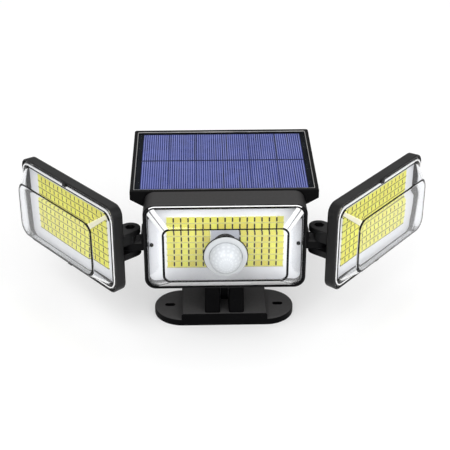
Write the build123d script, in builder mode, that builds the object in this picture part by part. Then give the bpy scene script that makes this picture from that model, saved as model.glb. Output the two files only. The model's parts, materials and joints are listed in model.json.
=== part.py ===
from build123d import *
import math
import os

# Solar security light: a wall base with a tilting fork hinge carries the main lamp,
# which has a solar panel tray behind it and a swivelling lamp head on each side.
# All lengths are millimetres and all angles are degrees. The origin is the centre of
# the wall base's underside. X runs to the right, Y to the back and Z up.

# Wall base
base_length = 115.0
base_depth = 47.0
plate_thickness = 5.7
block_length = 70.0
block_height = 11.0
block_edge = 1.2
slot_spacing = 89.5
slot_length = 8.6
slot_width = 4.5
plate_edge = 1.0
base_wall = 3.0
base_pockets = 3

# Fork and tilt hinge
tilt_axis_height = 24.5
cheek_radius = 22.0
cheek_width = 12.5
cheek_edge = 2.0
fork_gap = 7.0
lug_radius = 12.0
lug_root_length = 26.0
tilt_bolt_diameter = 5.0
tilt_head_diameter = 8.5
tilt_head_height = 3.0
tilt_nut_flats = 8.0
tilt_nut_height = 4.0
tilt_recess = 4.4

# Main lamp housing
lamp_width = 125.0
lamp_height = 73.0
lamp_depth = 23.3
lamp_corner = 9.0
lamp_edge = 1.0
lamp_back_wall = 2.0
lamp_axis_height = 85.0
lamp_reach = 45.5

# Lens covers, seals and their seats
main_bezel_rim = 2.5
head_bezel_rim = 1.6
lens_corner = 7.0
lens_wall = 1.8
lens_skirt = 1.6
lens_edge = 0.8
seal_thickness = 0.8
seat_ledge = 1.6
tab_width = 5.0
tab_reach = 1.0
main_lens_rise = 13.4
main_lens_inset_x = 12.8
main_lens_inset_z = 11.3
main_pane_corner = 6.0
head_lens_rise = 12.5
head_lens_inset = 8.7
head_flange_x = 2.4
head_flange_z = 4.1
head_pane_corner = 10.0

# LED boards
main_board_setback = 6.2
head_board_setback = 5.7
board_thickness = 1.6
led_columns = 16
led_rows = 8
led_thickness = 0.7
led_gap_x = 0.7
led_gap_z = 0.6
main_led_pitch_x = 5.63
main_led_pitch_z = 5.4
main_led_lift = 1.8
head_led_pitch_x = 5.95
head_led_pitch_z = 5.95
head_led_lift = 1.9
sensor_columns = 4
sensor_rows = 6
post_radius = 3.0
board_screw_spacing = 112.0
board_screw_diameter = 2.0
board_screw_head = 3.0
board_screw_head_height = 0.9
board_screw_length = 8.0

# Motion sensor
dome_radius = 12.6
dome_wall = 1.2
collar_radius = 16.5
collar_thickness = 2.0
collar_edge = 0.65
holder_radius = 7.7
holder_wall = 2.4
holder_foot_radius = 9.2
holder_foot_thickness = 1.5
sensor_can_radius = 4.1
sensor_can_height = 4.5
sensor_can_edge = 0.4
sensor_flange_radius = 4.6
sensor_flange_thickness = 0.8

# Side heads
head_width = 128.0
head_height = 75.0
head_taper = 0.4
head_corner = 9.0
head_edge = 0.8
head_back_edge = 1.6
head_floor = 1.8
head_post = 0.6
head_yaw = 50.5

# Head hinges
hinge_offset = 10.5
hinge_setback = 13.3
hinge_back = 22.1
hinge_inset = 9.7
ear_radius = 8.0
ear_root = 1.2
ear_edge = 0.7
hinge_top = 11.6
upper_ear = 9.8
tongue_height = 6.0
lower_ear = 5.6
notch_height = 5.6
notch_reach = 3.6
lug_pad_thickness = 1.8
lug_pad_height = 15.0
hinge_bolt_diameter = 4.0
hinge_head_diameter = 7.2
hinge_head_height = 2.2
hinge_nut_flats = 7.0
hinge_nut_height = 3.2
hinge_recess = 6.2

# Heads of the hinge screws
screw_head_round = 0.8
screw_socket_depth = 1.2

# Solar panel and its tray
panel_width = 146.0
panel_length = 99.5
panel_tilt = 5.0
panel_step = 0.5
tray_wall = 2.6
tray_height = 7.0
tray_corner = 2.0
tray_edge = 0.6
pocket_depth = 3.4
backsheet_thickness = 1.6
cell_thickness = 0.3
cell_border_side = 5.0
cell_border_end = 3.0
cell_gap = 1.2
cell_rows = 2
cover_thickness = 1.0

# Rear housing
flare_height = 7.0
flare_inset = 12.0
flare_inset_rear = 10.0
rear_bottom_inset = 6.5
rear_bottom_length = 36.0
rear_rise = 1.5
rear_wall = 2.2
rear_corner = 8.0
boss_radius = 5.0
boss_length = 14.0
boss_spacing = 84.0
boss_seat = 4.2
housing_screw_diameter = 3.0
housing_screw_head = 6.0
housing_screw_head_height = 2.0
housing_screw_length = 12.0

# Battery, control board and mode button
cell_diameter = 18.2
cell_length = 65.0
cap_diameter = 6.0
cap_height = 0.8
holder_side = 1.6
holder_floor = 2.0
control_length = 52.0
control_x = 26.0
control_depth = 11.0
control_thickness = 1.6
control_lift = 8.0
standoff_radius = 2.2
capacitor_radius = 3.0
capacitor_height = 9.0
inductor_size = 7.0
inductor_height = 4.0
chip_length = 6.0
chip_width = 5.0
chip_height = 1.6
button_x = 32.0
button_radius = 4.0
button_proud = 1.6
button_edge = 0.8
button_flange = 5.2
button_flange_thickness = 1.2
button_travel = 1.0
button_gap = 0.3
switch_size = 6.0
switch_height = 2.2
plunger_radius = 1.6

# Clearances
pin_fit = 0.05
seat_fit = 0.2
swing_gap = 0.1
washer_thickness = 0.5

# Places worked out from the sizes
join_y = lamp_depth - lamp_reach
lamp_bottom = lamp_axis_height - lamp_height / 2
lens_width = lamp_width - 2 * main_bezel_rim
main_lens_height = lamp_height - 2 * main_bezel_rim
head_lens_width = head_width - 2 * head_bezel_rim
head_lens_height = head_height - 2 * head_bezel_rim
head_cavity = head_board_setback + board_thickness + head_post
head_depth = head_cavity + head_floor
seat_depth = lens_skirt + seal_thickness
hinge_x = lamp_width / 2 + hinge_offset
hinge_y = hinge_setback - lamp_reach
hinge_along = head_width / 2 - hinge_inset
upper_ear_low = hinge_top - upper_ear
tongue_top = upper_ear_low - washer_thickness - swing_gap
tongue_low = tongue_top - tongue_height
lower_ear_top = tongue_low - washer_thickness - swing_gap
lower_ear_low = lower_ear_top - lower_ear
cheek_middle = (fork_gap + cheek_width) / 2
fork_outer = fork_gap / 2 + cheek_width
lug_width = fork_gap - 2 * (washer_thickness + swing_gap)
rear_bottom_z = lamp_bottom + rear_rise
rear_floor_z = rear_bottom_z + rear_wall
rear_width = panel_width - 2 * flare_inset
panel_front_z = lamp_axis_height + lamp_height / 2 + panel_step

# Reference planes: the lamp's face looks forwards and the panel's top leans forwards
lamp_face = Plane(origin=(0, -lamp_reach, lamp_axis_height), x_dir=(1, 0, 0), z_dir=(0, -1, 0))
panel_slope = math.radians(panel_tilt)
panel_run = Vector(0, math.cos(panel_slope), math.sin(panel_slope))
panel_top = Plane(
    origin=Vector(0, join_y, panel_front_z) + panel_run * (panel_length / 2),
    x_dir=(1, 0, 0),
    z_dir=(0, -math.sin(panel_slope), math.cos(panel_slope)),
)


def head_face(side):
    """Plane of a side head's lens base, looking outwards, for side -1 (left) or 1 (right)."""
    yaw = math.radians(head_yaw)
    forward = Vector(side * math.sin(yaw), -math.cos(yaw), 0)
    outward = Vector(side * math.cos(yaw), math.sin(yaw), 0)
    pivot = Vector(side * hinge_x, hinge_y, lamp_axis_height)
    return Plane(
        origin=pivot + outward * hinge_along + forward * hinge_back,
        x_dir=outward * side,
        z_dir=forward,
    )


def hinge_plane(side, height, x_dir=(1, 0, 0)):
    """Level plane on a head's hinge axis, at a height above the lamp's axis."""
    return Plane(
        origin=(side * hinge_x, hinge_y, lamp_axis_height + height), x_dir=x_dir, z_dir=(0, 0, 1)
    )


def finish(part, name):
    """Label a finished piece and write it to its own file."""
    part.label = name
    export_step(part, f"parts/{name}.step")


def front_face(part, plane):
    """The face of a part that lies furthest along a plane's normal."""
    return part.faces().sort_by(Axis(plane.origin, plane.z_dir))[-1]


def back_face(part, plane):
    """The face of a part that lies furthest against a plane's normal."""
    return part.faces().sort_by(Axis(plane.origin, plane.z_dir))[0]


def lens_cover(face, width, height, foot, pane, rise, pane_corner, hole_radius=0):
    """Clear cover: a flange that drops into its seat, sloped walls from a foot and a flat pane."""
    foot_width, foot_height = foot
    pane_width, pane_height = pane
    inner_corner = lens_corner - lens_wall
    with BuildPart() as cover:
        with BuildSketch(face):
            RectangleRounded(foot_width, foot_height, lens_corner)
        with BuildSketch(face.offset(rise)):
            RectangleRounded(pane_width, pane_height, pane_corner)
        loft(ruled=True)
        fillet(front_face(cover.part, face).edges(), lens_edge)
        with BuildSketch(face):
            RectangleRounded(width, height, lens_corner)
            with Locations((0, height / 2), (0, -height / 2)):
                Rectangle(tab_width, 2 * tab_reach)
        extrude(amount=-lens_skirt)
        with BuildSketch(face.offset(-lens_skirt)):
            RectangleRounded(foot_width - 2 * lens_wall, foot_height - 2 * lens_wall, inner_corner)
        extrude(amount=lens_skirt, mode=Mode.SUBTRACT)
        with BuildSketch(face):
            RectangleRounded(foot_width - 2 * lens_wall, foot_height - 2 * lens_wall, inner_corner)
        with BuildSketch(face.offset(rise - lens_wall)):
            RectangleRounded(
                pane_width - 2 * lens_wall, pane_height - 2 * lens_wall, pane_corner - lens_wall
            )
        loft(ruled=True, mode=Mode.SUBTRACT)
        if hole_radius:
            with BuildSketch(face.offset(rise)):
                Circle(hole_radius)
            extrude(amount=-2 * lens_wall, mode=Mode.SUBTRACT)
    return cover.part


def lens_seal(face, width, height):
    """Flat rubber ring between a lens skirt and the ledge of its seat."""
    inner_corner = lens_corner - seat_ledge
    with BuildPart() as seal:
        with BuildSketch(face.offset(-seat_depth)):
            RectangleRounded(width, height, lens_corner)
            RectangleRounded(
                width - 2 * seat_ledge, height - 2 * seat_ledge, inner_corner, mode=Mode.SUBTRACT
            )
        extrude(amount=seal_thickness)
    return seal.part


def lens_seat(face, width, height, cavity_depth):
    """Hollow of a lens seat: the recess for the skirt, its tab notches and the cavity behind."""
    with BuildPart() as seat:
        with BuildSketch(face):
            RectangleRounded(width + 2 * pin_fit, height + 2 * pin_fit, lens_corner + pin_fit)
        extrude(amount=-seat_depth)
        with BuildSketch(face):
            with Locations((0, height / 2), (0, -height / 2)):
                Rectangle(tab_width + 2 * pin_fit, 2 * (tab_reach + pin_fit))
        extrude(amount=-lens_skirt - pin_fit)
        with BuildSketch(face):
            RectangleRounded(
                width - 2 * seat_ledge, height - 2 * seat_ledge, lens_corner - seat_ledge
            )
        extrude(amount=-cavity_depth)
    return seat.part


def board_posts(face, width, height, cavity_depth, setback):
    """Four corner posts that carry an LED board off the floor of its housing."""
    inset = 2 * (seat_ledge + post_radius)
    with BuildPart() as posts:
        with BuildSketch(face.offset(-cavity_depth)):
            with GridLocations(width - inset, height - inset, 2, 2):
                Circle(post_radius)
        extrude(amount=cavity_depth - setback - board_thickness)
    return posts.part


def led_board(face, width, height, setback, screw_spacing=0):
    """White circuit board that fills the opening behind a lens."""
    edge = 2 * (seat_ledge + seat_fit)
    with BuildPart() as board:
        with BuildSketch(face.offset(-setback)):
            RectangleRounded(width - edge, height - edge, lens_corner - seat_ledge)
            if screw_spacing:
                with GridLocations(screw_spacing, 0, 2, 1):
                    Circle(board_screw_diameter / 2 + pin_fit, mode=Mode.SUBTRACT)
        extrude(amount=-board_thickness)
    return board.part


def led_chips(face, setback, pitch_x, pitch_z, lift, free_columns=0, free_rows=0):
    """Grid of LED chips, with a block of places left free at the middle of the lower rows."""
    places = []
    for column in range(led_columns):
        for row in range(led_rows):
            from_middle = column - (led_columns - 1) / 2
            if abs(from_middle) < free_columns / 2 and row < free_rows:
                continue
            height = (row - (led_rows - 1) / 2) * pitch_z + lift
            places.append((from_middle * pitch_x, height))
    with BuildPart() as chips:
        with BuildSketch(face.offset(-setback)):
            with Locations(places):
                Rectangle(pitch_x - led_gap_x, pitch_z - led_gap_z)
        extrude(amount=led_thickness)
    return chips.part


def fork_cheek(side):
    """One round-topped cheek of the fork, with rounded edges."""
    with BuildPart() as cheek:
        with BuildSketch(Plane.YZ.offset(side * cheek_middle - cheek_width / 2)):
            with BuildLine():
                Line((cheek_radius, tilt_axis_height), (cheek_radius, plate_thickness))
                Line((cheek_radius, plate_thickness), (-cheek_radius, plate_thickness))
                Line((-cheek_radius, plate_thickness), (-cheek_radius, tilt_axis_height))
                ThreePointArc(
                    (-cheek_radius, tilt_axis_height),
                    (0, tilt_axis_height + cheek_radius),
                    (cheek_radius, tilt_axis_height),
                )
            make_face()
        extrude(amount=cheek_width)
        outline = cheek.edges().filter_by(Axis.X, reverse=True)
        fillet(outline - outline.group_by(Axis.Z)[0], cheek_edge)
    return cheek.part


def hinge_ear(plane, height, outer_ring):
    """One round ear of a head's hinge on its arm, with its outer edge rounded."""
    arm_length = hinge_back - head_depth + ear_root
    with BuildPart() as ear:
        with BuildSketch(plane):
            Circle(ear_radius)
            with Locations((0, -arm_length / 2)):
                Rectangle(2 * ear_radius, arm_length)
        extrude(amount=height)
        rings = ear.edges().filter_by(GeomType.CIRCLE).sort_by(Axis.Z)
        fillet(rings[outer_ring], ear_edge)
    return ear.part


def washer_pair(lower, upper, inner_radius, outer_radius):
    """Two thin washers, each lying on its plane."""
    with BuildPart() as washers:
        with BuildSketch(lower, upper):
            Circle(outer_radius)
            Circle(inner_radius, mode=Mode.SUBTRACT)
        extrude(amount=washer_thickness)
    return washers.part


def hex_nut(seat, flats, height, bore_radius):
    """Plain hexagon nut standing on its seat."""
    with BuildPart() as nut:
        with BuildSketch(seat):
            RegularPolygon(flats / 2, 6, major_radius=False)
            Circle(bore_radius, mode=Mode.SUBTRACT)
        extrude(amount=height)
    return nut.part


def machine_screw(seat, diameter, length, head_diameter, head_height):
    """Screw whose round head stands on its seat and whose shank runs down through it."""
    with BuildPart() as screw:
        with BuildSketch(seat):
            Circle(head_diameter / 2)
        extrude(amount=head_height)
        fillet(front_face(screw.part, seat).edges(), screw_head_round)
        with BuildSketch(seat.offset(head_height)):
            RegularPolygon(diameter / 2, 6)
        extrude(amount=-screw_socket_depth, mode=Mode.SUBTRACT)
        with BuildSketch(seat):
            Circle(diameter / 2)
        extrude(amount=-length)
    return screw.part


os.makedirs("parts", exist_ok=True)

# Wall base: a stadium plate with slots, a raised block and a fork of two round cheeks
pocket_pitch = (block_length - base_wall) / base_pockets
fork_left = Plane(origin=(-fork_outer, 0, tilt_axis_height), x_dir=(0, 1, 0), z_dir=(-1, 0, 0))
fork_right = Plane(origin=(fork_outer, 0, tilt_axis_height), x_dir=(0, 1, 0), z_dir=(1, 0, 0))
cheeks = [fork_cheek(side) for side in (-1, 1)]

with BuildPart() as wall_base:
    with BuildSketch():
        SlotOverall(base_length, base_depth)
    extrude(amount=plate_thickness)
    with BuildSketch(Plane.XY.offset(plate_thickness)):
        SlotOverall(base_length, base_depth)
        Rectangle(block_length, base_depth, mode=Mode.INTERSECT)
    extrude(amount=block_height - plate_thickness)
    chamfer(wall_base.faces().sort_by(Axis.Z)[-1].edges().filter_by(Axis.Y), block_edge)
    plate_top = wall_base.edges().filter_by_position(Axis.Z, plate_thickness, plate_thickness)
    fillet(plate_top.filter_by(GeomType.CIRCLE), plate_edge)
    add(cheeks)
    with BuildSketch():
        with GridLocations(slot_spacing, 0, 2, 1):
            SlotOverall(slot_length, slot_width)
    extrude(amount=plate_thickness, mode=Mode.SUBTRACT)
    with BuildSketch():
        with GridLocations(pocket_pitch, 0, base_pockets, 1):
            Rectangle(pocket_pitch - base_wall, base_depth - 2 * base_wall)
    extrude(amount=block_height - base_wall, mode=Mode.SUBTRACT)
    with BuildSketch(fork_left):
        Circle(tilt_bolt_diameter / 2 + pin_fit)
    extrude(amount=-2 * fork_outer, mode=Mode.SUBTRACT)
    with BuildSketch(fork_left):
        Circle(tilt_head_diameter / 2 + seat_fit)
    extrude(amount=-tilt_recess, mode=Mode.SUBTRACT)
    with BuildSketch(fork_right):
        RegularPolygon(tilt_nut_flats / 2 + pin_fit, 6, major_radius=False)
    extrude(amount=-tilt_recess, mode=Mode.SUBTRACT)
finish(wall_base.part, "wall_base")

# Tilt bolt, its nut and the two friction washers beside the lug
tilt_bolt_length = 2 * (fork_outer - tilt_recess) + tilt_nut_height
finish(
    machine_screw(
        fork_left.offset(-tilt_recess),
        tilt_bolt_diameter,
        tilt_bolt_length,
        tilt_head_diameter,
        tilt_head_height,
    ),
    "tilt_bolt",
)
tilt_bore = tilt_bolt_diameter / 2 + pin_fit
finish(
    hex_nut(fork_right.offset(-tilt_recess), tilt_nut_flats, tilt_nut_height, tilt_bore),
    "tilt_nut",
)
finish(
    washer_pair(
        fork_left.offset(-cheek_width - washer_thickness),
        fork_right.offset(-cheek_width - washer_thickness),
        tilt_bore,
        lug_radius - washer_thickness,
    ),
    "tilt_washers",
)

# Main lamp housing: a rounded box with a lens seat, hinge lugs and posts for its boards
lamp_cavity = lamp_depth - lamp_back_wall
cavity_bottom = lamp_axis_height - main_lens_height / 2 + seat_ledge
board_back_y = -lamp_reach + main_board_setback + board_thickness
control_y = (board_back_y + join_y - lamp_back_wall) / 2
control_z = cavity_bottom + control_lift
tongue_radius = ear_radius - pin_fit
roof_z = panel_front_z - tray_height / math.cos(panel_slope)
join_plane = Plane(origin=(0, join_y, 0), x_dir=(-1, 0, 0), z_dir=(0, 1, 0))
boss_places = [
    (x, z)
    for x in (-boss_spacing / 2, boss_spacing / 2)
    for z in (rear_floor_z + boss_seat, roof_z - boss_seat)
]
control_corner = Plane(origin=(control_x, control_y, cavity_bottom))
main_seat = lens_seat(lamp_face, lens_width, main_lens_height, lamp_cavity)
main_posts = board_posts(
    lamp_face, lens_width, main_lens_height, lamp_cavity, main_board_setback
)

with BuildPart() as lamp_housing:
    with BuildSketch(lamp_face):
        RectangleRounded(lamp_width, lamp_height, lamp_corner)
    extrude(amount=-lamp_depth)
    fillet(front_face(lamp_housing.part, lamp_face).edges(), lamp_edge)
    add(main_seat, mode=Mode.SUBTRACT)
    add(main_posts)
    with BuildSketch(lamp_face.offset(-lamp_cavity)):
        with GridLocations(board_screw_spacing, 0, 2, 1):
            Circle(post_radius)
        Rectangle(lens_width, main_lens_height, mode=Mode.INTERSECT)
    extrude(amount=lamp_cavity - main_board_setback - board_thickness)
    with BuildSketch(lamp_face.offset(-main_board_setback - board_thickness)):
        with GridLocations(board_screw_spacing, 0, 2, 1):
            Circle(board_screw_diameter / 2 + pin_fit)
    extrude(amount=-board_screw_length, mode=Mode.SUBTRACT)
    with BuildSketch(control_corner):
        with GridLocations(control_length - 4 * standoff_radius, control_depth / 2, 2, 2):
            Circle(standoff_radius)
    extrude(amount=control_lift)
    with BuildSketch(Plane(origin=(button_x, control_y, lamp_bottom))):
        Circle(button_radius + button_gap)
    extrude(amount=cavity_bottom - lamp_bottom, mode=Mode.SUBTRACT)
    with BuildSketch(join_plane):
        with Locations(boss_places):
            Circle(housing_screw_diameter / 2 + pin_fit)
    extrude(amount=-lamp_back_wall, mode=Mode.SUBTRACT)
    for side in (-1, 1):
        with BuildSketch(hinge_plane(side, tongue_low)):
            Circle(tongue_radius)
            with Locations((-side * hinge_offset / 2, 0)):
                Rectangle(hinge_offset, 2 * tongue_radius)
        extrude(amount=tongue_height)
        with BuildSketch(hinge_plane(side, tongue_low)):
            with Locations((-side * (hinge_offset - lug_pad_thickness / 2), 0)):
                Rectangle(lug_pad_thickness, 2 * tongue_radius)
        extrude(amount=lug_pad_height)
        with BuildSketch(hinge_plane(side, tongue_low)):
            Circle(hinge_bolt_diameter / 2 + pin_fit)
        extrude(amount=tongue_height, mode=Mode.SUBTRACT)
finish(lamp_housing.part, "lamp_housing")

# Main lens, seal, LED board and chips, and the two screws that hold the board
sensor_hole = holder_radius + seat_fit
finish(
    lens_cover(
        lamp_face,
        lens_width,
        main_lens_height,
        (lens_width, main_lens_height),
        (lens_width - 2 * main_lens_inset_x, main_lens_height - 2 * main_lens_inset_z),
        main_lens_rise,
        main_pane_corner,
        sensor_hole,
    ),
    "main_lens",
)
finish(lens_seal(lamp_face, lens_width, main_lens_height), "main_lens_seal")
finish(
    led_board(lamp_face, lens_width, main_lens_height, main_board_setback, board_screw_spacing),
    "main_led_board",
)
finish(
    led_chips(
        lamp_face,
        main_board_setback,
        main_led_pitch_x,
        main_led_pitch_z,
        main_led_lift,
        sensor_columns,
        sensor_rows,
    ),
    "main_leds",
)

with BuildPart() as board_screws:
    with BuildSketch(lamp_face.offset(-main_board_setback)):
        with GridLocations(board_screw_spacing, 0, 2, 1):
            Circle(board_screw_head / 2)
    extrude(amount=board_screw_head_height)
    with BuildSketch(lamp_face.offset(-main_board_setback)):
        with GridLocations(board_screw_spacing, 0, 2, 1):
            Circle(board_screw_diameter / 2)
    extrude(amount=-board_screw_length)
finish(board_screws.part, "board_screws")

# Motion sensor: a holder on the LED board, the sensor can, the collar and the lens dome
pane_plane = lamp_face.offset(main_lens_rise)
can_seat = pane_plane.offset(-sensor_can_height - sensor_flange_thickness)

with BuildPart() as sensor_holder:
    with BuildSketch(lamp_face.offset(-main_board_setback)):
        Circle(holder_foot_radius)
    extrude(amount=holder_foot_thickness)
    with BuildSketch(lamp_face.offset(-main_board_setback)):
        Circle(holder_radius)
    extrude(amount=main_board_setback + main_lens_rise)
    with BuildSketch(can_seat):
        Circle(holder_radius - holder_wall)
    extrude(amount=sensor_can_height + sensor_flange_thickness, mode=Mode.SUBTRACT)
finish(sensor_holder.part, "sensor_holder")

with BuildPart() as motion_sensor:
    with BuildSketch(can_seat):
        Circle(sensor_flange_radius)
    extrude(amount=sensor_flange_thickness)
    with BuildSketch(can_seat.offset(sensor_flange_thickness)):
        Circle(sensor_can_radius)
    extrude(amount=sensor_can_height)
    chamfer(front_face(motion_sensor.part, can_seat).edges(), sensor_can_edge)
finish(motion_sensor.part, "motion_sensor")

with BuildPart() as sensor_collar:
    with BuildSketch(pane_plane):
        Circle(collar_radius)
        Circle(dome_radius + pin_fit, mode=Mode.SUBTRACT)
    extrude(amount=collar_thickness)
    fillet(
        sensor_collar.edges().filter_by(GeomType.CIRCLE).sort_by(SortBy.RADIUS)[-1],
        collar_edge,
    )
finish(sensor_collar.part, "sensor_collar")

with BuildPart(pane_plane.offset(collar_thickness)) as sensor_dome:
    Sphere(dome_radius, arc_size1=0, align=(Align.CENTER, Align.CENTER, Align.MIN))
    with BuildSketch(pane_plane):
        Circle(dome_radius)
    extrude(amount=collar_thickness)
    Sphere(dome_radius - dome_wall, mode=Mode.SUBTRACT)
    with BuildSketch(pane_plane):
        Circle(dome_radius - dome_wall)
    extrude(amount=collar_thickness, mode=Mode.SUBTRACT)
finish(sensor_dome.part, "sensor_dome")

# Rear housing: the panel tray on a flared, tapering shell, with the tilt lug below it
front_over = max(tray_corner, rear_corner)
tray_floor = panel_top.offset(-tray_height)
flare_plane = panel_top.offset(-tray_height - flare_height)
body_length = panel_length - flare_inset_rear + front_over
bottom_length = rear_bottom_length + front_over
bottom_width = rear_width - 2 * rear_bottom_inset
bottom_middle = join_y + rear_bottom_length / 2 - front_over / 2
lug_root_y = join_y + rear_bottom_length / 2
bottom_plane = Plane(origin=(0, bottom_middle, rear_bottom_z))
cavity_plane = Plane(origin=(0, bottom_middle - rear_wall / 2, rear_floor_z))

with BuildPart() as rear_housing:
    with BuildSketch(tray_floor):
        with Locations((0, -front_over / 2)):
            RectangleRounded(panel_width, panel_length + front_over, tray_corner)
    extrude(amount=tray_height)
    with BuildSketch(tray_floor):
        with Locations((0, -front_over / 2)):
            RectangleRounded(panel_width, panel_length + front_over, tray_corner)
    with BuildSketch(flare_plane):
        with Locations((0, -(front_over + flare_inset_rear) / 2)):
            RectangleRounded(rear_width, body_length, rear_corner)
    loft(ruled=True)
    with BuildSketch(flare_plane):
        with Locations((0, -(front_over + flare_inset_rear) / 2)):
            RectangleRounded(rear_width, body_length, rear_corner)
    with BuildSketch(bottom_plane):
        RectangleRounded(bottom_width, bottom_length, rear_corner)
    loft(ruled=True)
    with BuildSketch(tray_floor):
        with Locations((0, -(front_over + flare_inset_rear + rear_wall) / 2)):
            RectangleRounded(
                rear_width - 2 * rear_wall, body_length - rear_wall, rear_corner - rear_wall
            )
    with BuildSketch(cavity_plane):
        RectangleRounded(
            bottom_width - 2 * rear_wall, bottom_length - rear_wall, rear_corner - rear_wall
        )
    loft(ruled=True, mode=Mode.SUBTRACT)
    split(bisect_by=join_plane, keep=Keep.TOP)
    with BuildSketch(panel_top):
        Rectangle(panel_width - 2 * tray_wall, panel_length - 2 * tray_wall)
    extrude(amount=-pocket_depth, mode=Mode.SUBTRACT)
    fillet(front_face(rear_housing.part, panel_top).outer_wire().edges(), tray_edge)
    with BuildSketch(join_plane):
        with Locations(boss_places):
            Circle(boss_radius)
    extrude(amount=boss_length)
    with BuildSketch(join_plane):
        with Locations(boss_places):
            Circle(housing_screw_diameter / 2 + pin_fit)
    extrude(amount=boss_length - rear_wall, mode=Mode.SUBTRACT)
    with BuildSketch(Plane.YZ.offset(-lug_width / 2)):
        with Locations((0, tilt_axis_height)):
            Circle(lug_radius)
        with Locations((lug_root_y, rear_bottom_z + rear_wall / 2)):
            Rectangle(lug_root_length, rear_wall)
        make_hull()
    extrude(amount=lug_width)
    with BuildSketch(Plane.YZ.offset(-lug_width / 2)):
        with Locations((0, tilt_axis_height)):
            Circle(tilt_bore)
    extrude(amount=lug_width, mode=Mode.SUBTRACT)
finish(rear_housing.part, "rear_housing")

with BuildPart() as housing_screws:
    with BuildSketch(join_plane.offset(-lamp_back_wall)):
        with Locations(boss_places):
            Circle(housing_screw_head / 2)
    extrude(amount=-housing_screw_head_height)
    with BuildSketch(join_plane.offset(-lamp_back_wall)):
        with Locations(boss_places):
            Circle(housing_screw_diameter / 2)
    extrude(amount=housing_screw_length)
finish(housing_screws.part, "housing_screws")

# Solar panel: a dark backsheet, two rows of cells and a clear cover sheet
sheet_width = panel_width - 2 * (tray_wall + seat_fit)
sheet_length = panel_length - 2 * (tray_wall + seat_fit)
cell_width = sheet_width - 2 * cell_border_side
cell_pitch = (sheet_length - 2 * cell_border_end + cell_gap) / cell_rows
backsheet_plane = panel_top.offset(-pocket_depth)
cell_plane = backsheet_plane.offset(backsheet_thickness)

with BuildPart() as panel_backsheet:
    with BuildSketch(backsheet_plane):
        Rectangle(sheet_width, sheet_length)
    extrude(amount=backsheet_thickness)
finish(panel_backsheet.part, "panel_backsheet")

with BuildPart() as solar_cells:
    with BuildSketch(cell_plane):
        with GridLocations(0, cell_pitch, 1, cell_rows):
            Rectangle(cell_width, cell_pitch - cell_gap)
    extrude(amount=cell_thickness)
finish(solar_cells.part, "solar_cells")

with BuildPart() as panel_cover:
    with BuildSketch(cell_plane.offset(cell_thickness)):
        Rectangle(sheet_width, sheet_length)
    extrude(amount=cover_thickness)
finish(panel_cover.part, "panel_cover")

# Battery: one round cell in a trough that stands on the rear housing's floor
trough_length = cell_length + cap_height + 2 * (seat_fit + holder_side)
trough_width = cell_diameter + 2 * (seat_fit + holder_side)
cell_axis_z = rear_floor_z + holder_floor + seat_fit + cell_diameter / 2
cell_start = Plane.YZ.offset(-(cell_length + cap_height) / 2)

with BuildPart() as battery_holder:
    with BuildSketch(Plane(origin=(0, lug_root_y, rear_floor_z))):
        Rectangle(trough_length, trough_width)
    extrude(amount=cell_axis_z - rear_floor_z)
    with BuildSketch(cell_start.offset(-seat_fit)):
        with Locations((lug_root_y, cell_axis_z)):
            Circle(cell_diameter / 2 + seat_fit)
    extrude(amount=cell_length + cap_height + 2 * seat_fit, mode=Mode.SUBTRACT)
finish(battery_holder.part, "battery_holder")

with BuildPart() as battery_cell:
    with BuildSketch(cell_start):
        with Locations((lug_root_y, cell_axis_z)):
            Circle(cell_diameter / 2)
    extrude(amount=cell_length)
    with BuildSketch(cell_start.offset(cell_length)):
        with Locations((lug_root_y, cell_axis_z)):
            Circle(cap_diameter / 2)
    extrude(amount=cap_height)
finish(battery_cell.part, "battery_cell")

# Control board with its components above and the mode switch below, over the mode button
button_top = cavity_bottom + seat_fit + button_flange_thickness
plunger_tip = button_top + button_travel + swing_gap
board_top = Plane(origin=(control_x, control_y, control_z + control_thickness))

with BuildPart() as control_board:
    with BuildSketch(Plane(origin=(control_x, control_y, control_z))):
        Rectangle(control_length, control_depth)
    extrude(amount=control_thickness)
finish(control_board.part, "control_board")

with BuildPart() as control_components:
    with BuildSketch(board_top):
        with Locations((-control_length / 4, 0)):
            Circle(capacitor_radius)
    extrude(amount=capacitor_height)
    with BuildSketch(board_top):
        Rectangle(inductor_size, inductor_size)
    extrude(amount=inductor_height)
    with BuildSketch(board_top):
        with Locations((control_length / 4, 0)):
            Rectangle(chip_length, chip_width)
    extrude(amount=chip_height)
finish(control_components.part, "control_components")

with BuildPart() as mode_switch:
    with BuildSketch(Plane(origin=(button_x, control_y, control_z))):
        Rectangle(switch_size, switch_size)
    extrude(amount=-switch_height)
    with BuildSketch(Plane(origin=(button_x, control_y, plunger_tip))):
        Circle(plunger_radius)
    extrude(amount=control_z - switch_height - plunger_tip)
finish(mode_switch.part, "mode_switch")

with BuildPart() as mode_button:
    with BuildSketch(Plane(origin=(button_x, control_y, lamp_bottom - button_proud))):
        Circle(button_radius)
    extrude(amount=button_top - lamp_bottom + button_proud)
    fillet(mode_button.faces().sort_by(Axis.Z)[0].edges(), button_edge)
    with BuildSketch(Plane(origin=(button_x, control_y, button_top))):
        Circle(button_flange)
    extrude(amount=-button_flange_thickness)
finish(mode_button.part, "mode_button")

# Side heads: a tapered housing with hinge ears, lens, seal, LED board and chips
foot_width = head_lens_width - 2 * head_flange_x
foot_height = head_lens_height - 2 * head_flange_z
screw_seat = lower_ear_low + hinge_head_height + seat_fit
nut_seat = hinge_top - hinge_recess
hinge_bore = hinge_bolt_diameter / 2 + pin_fit

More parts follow.
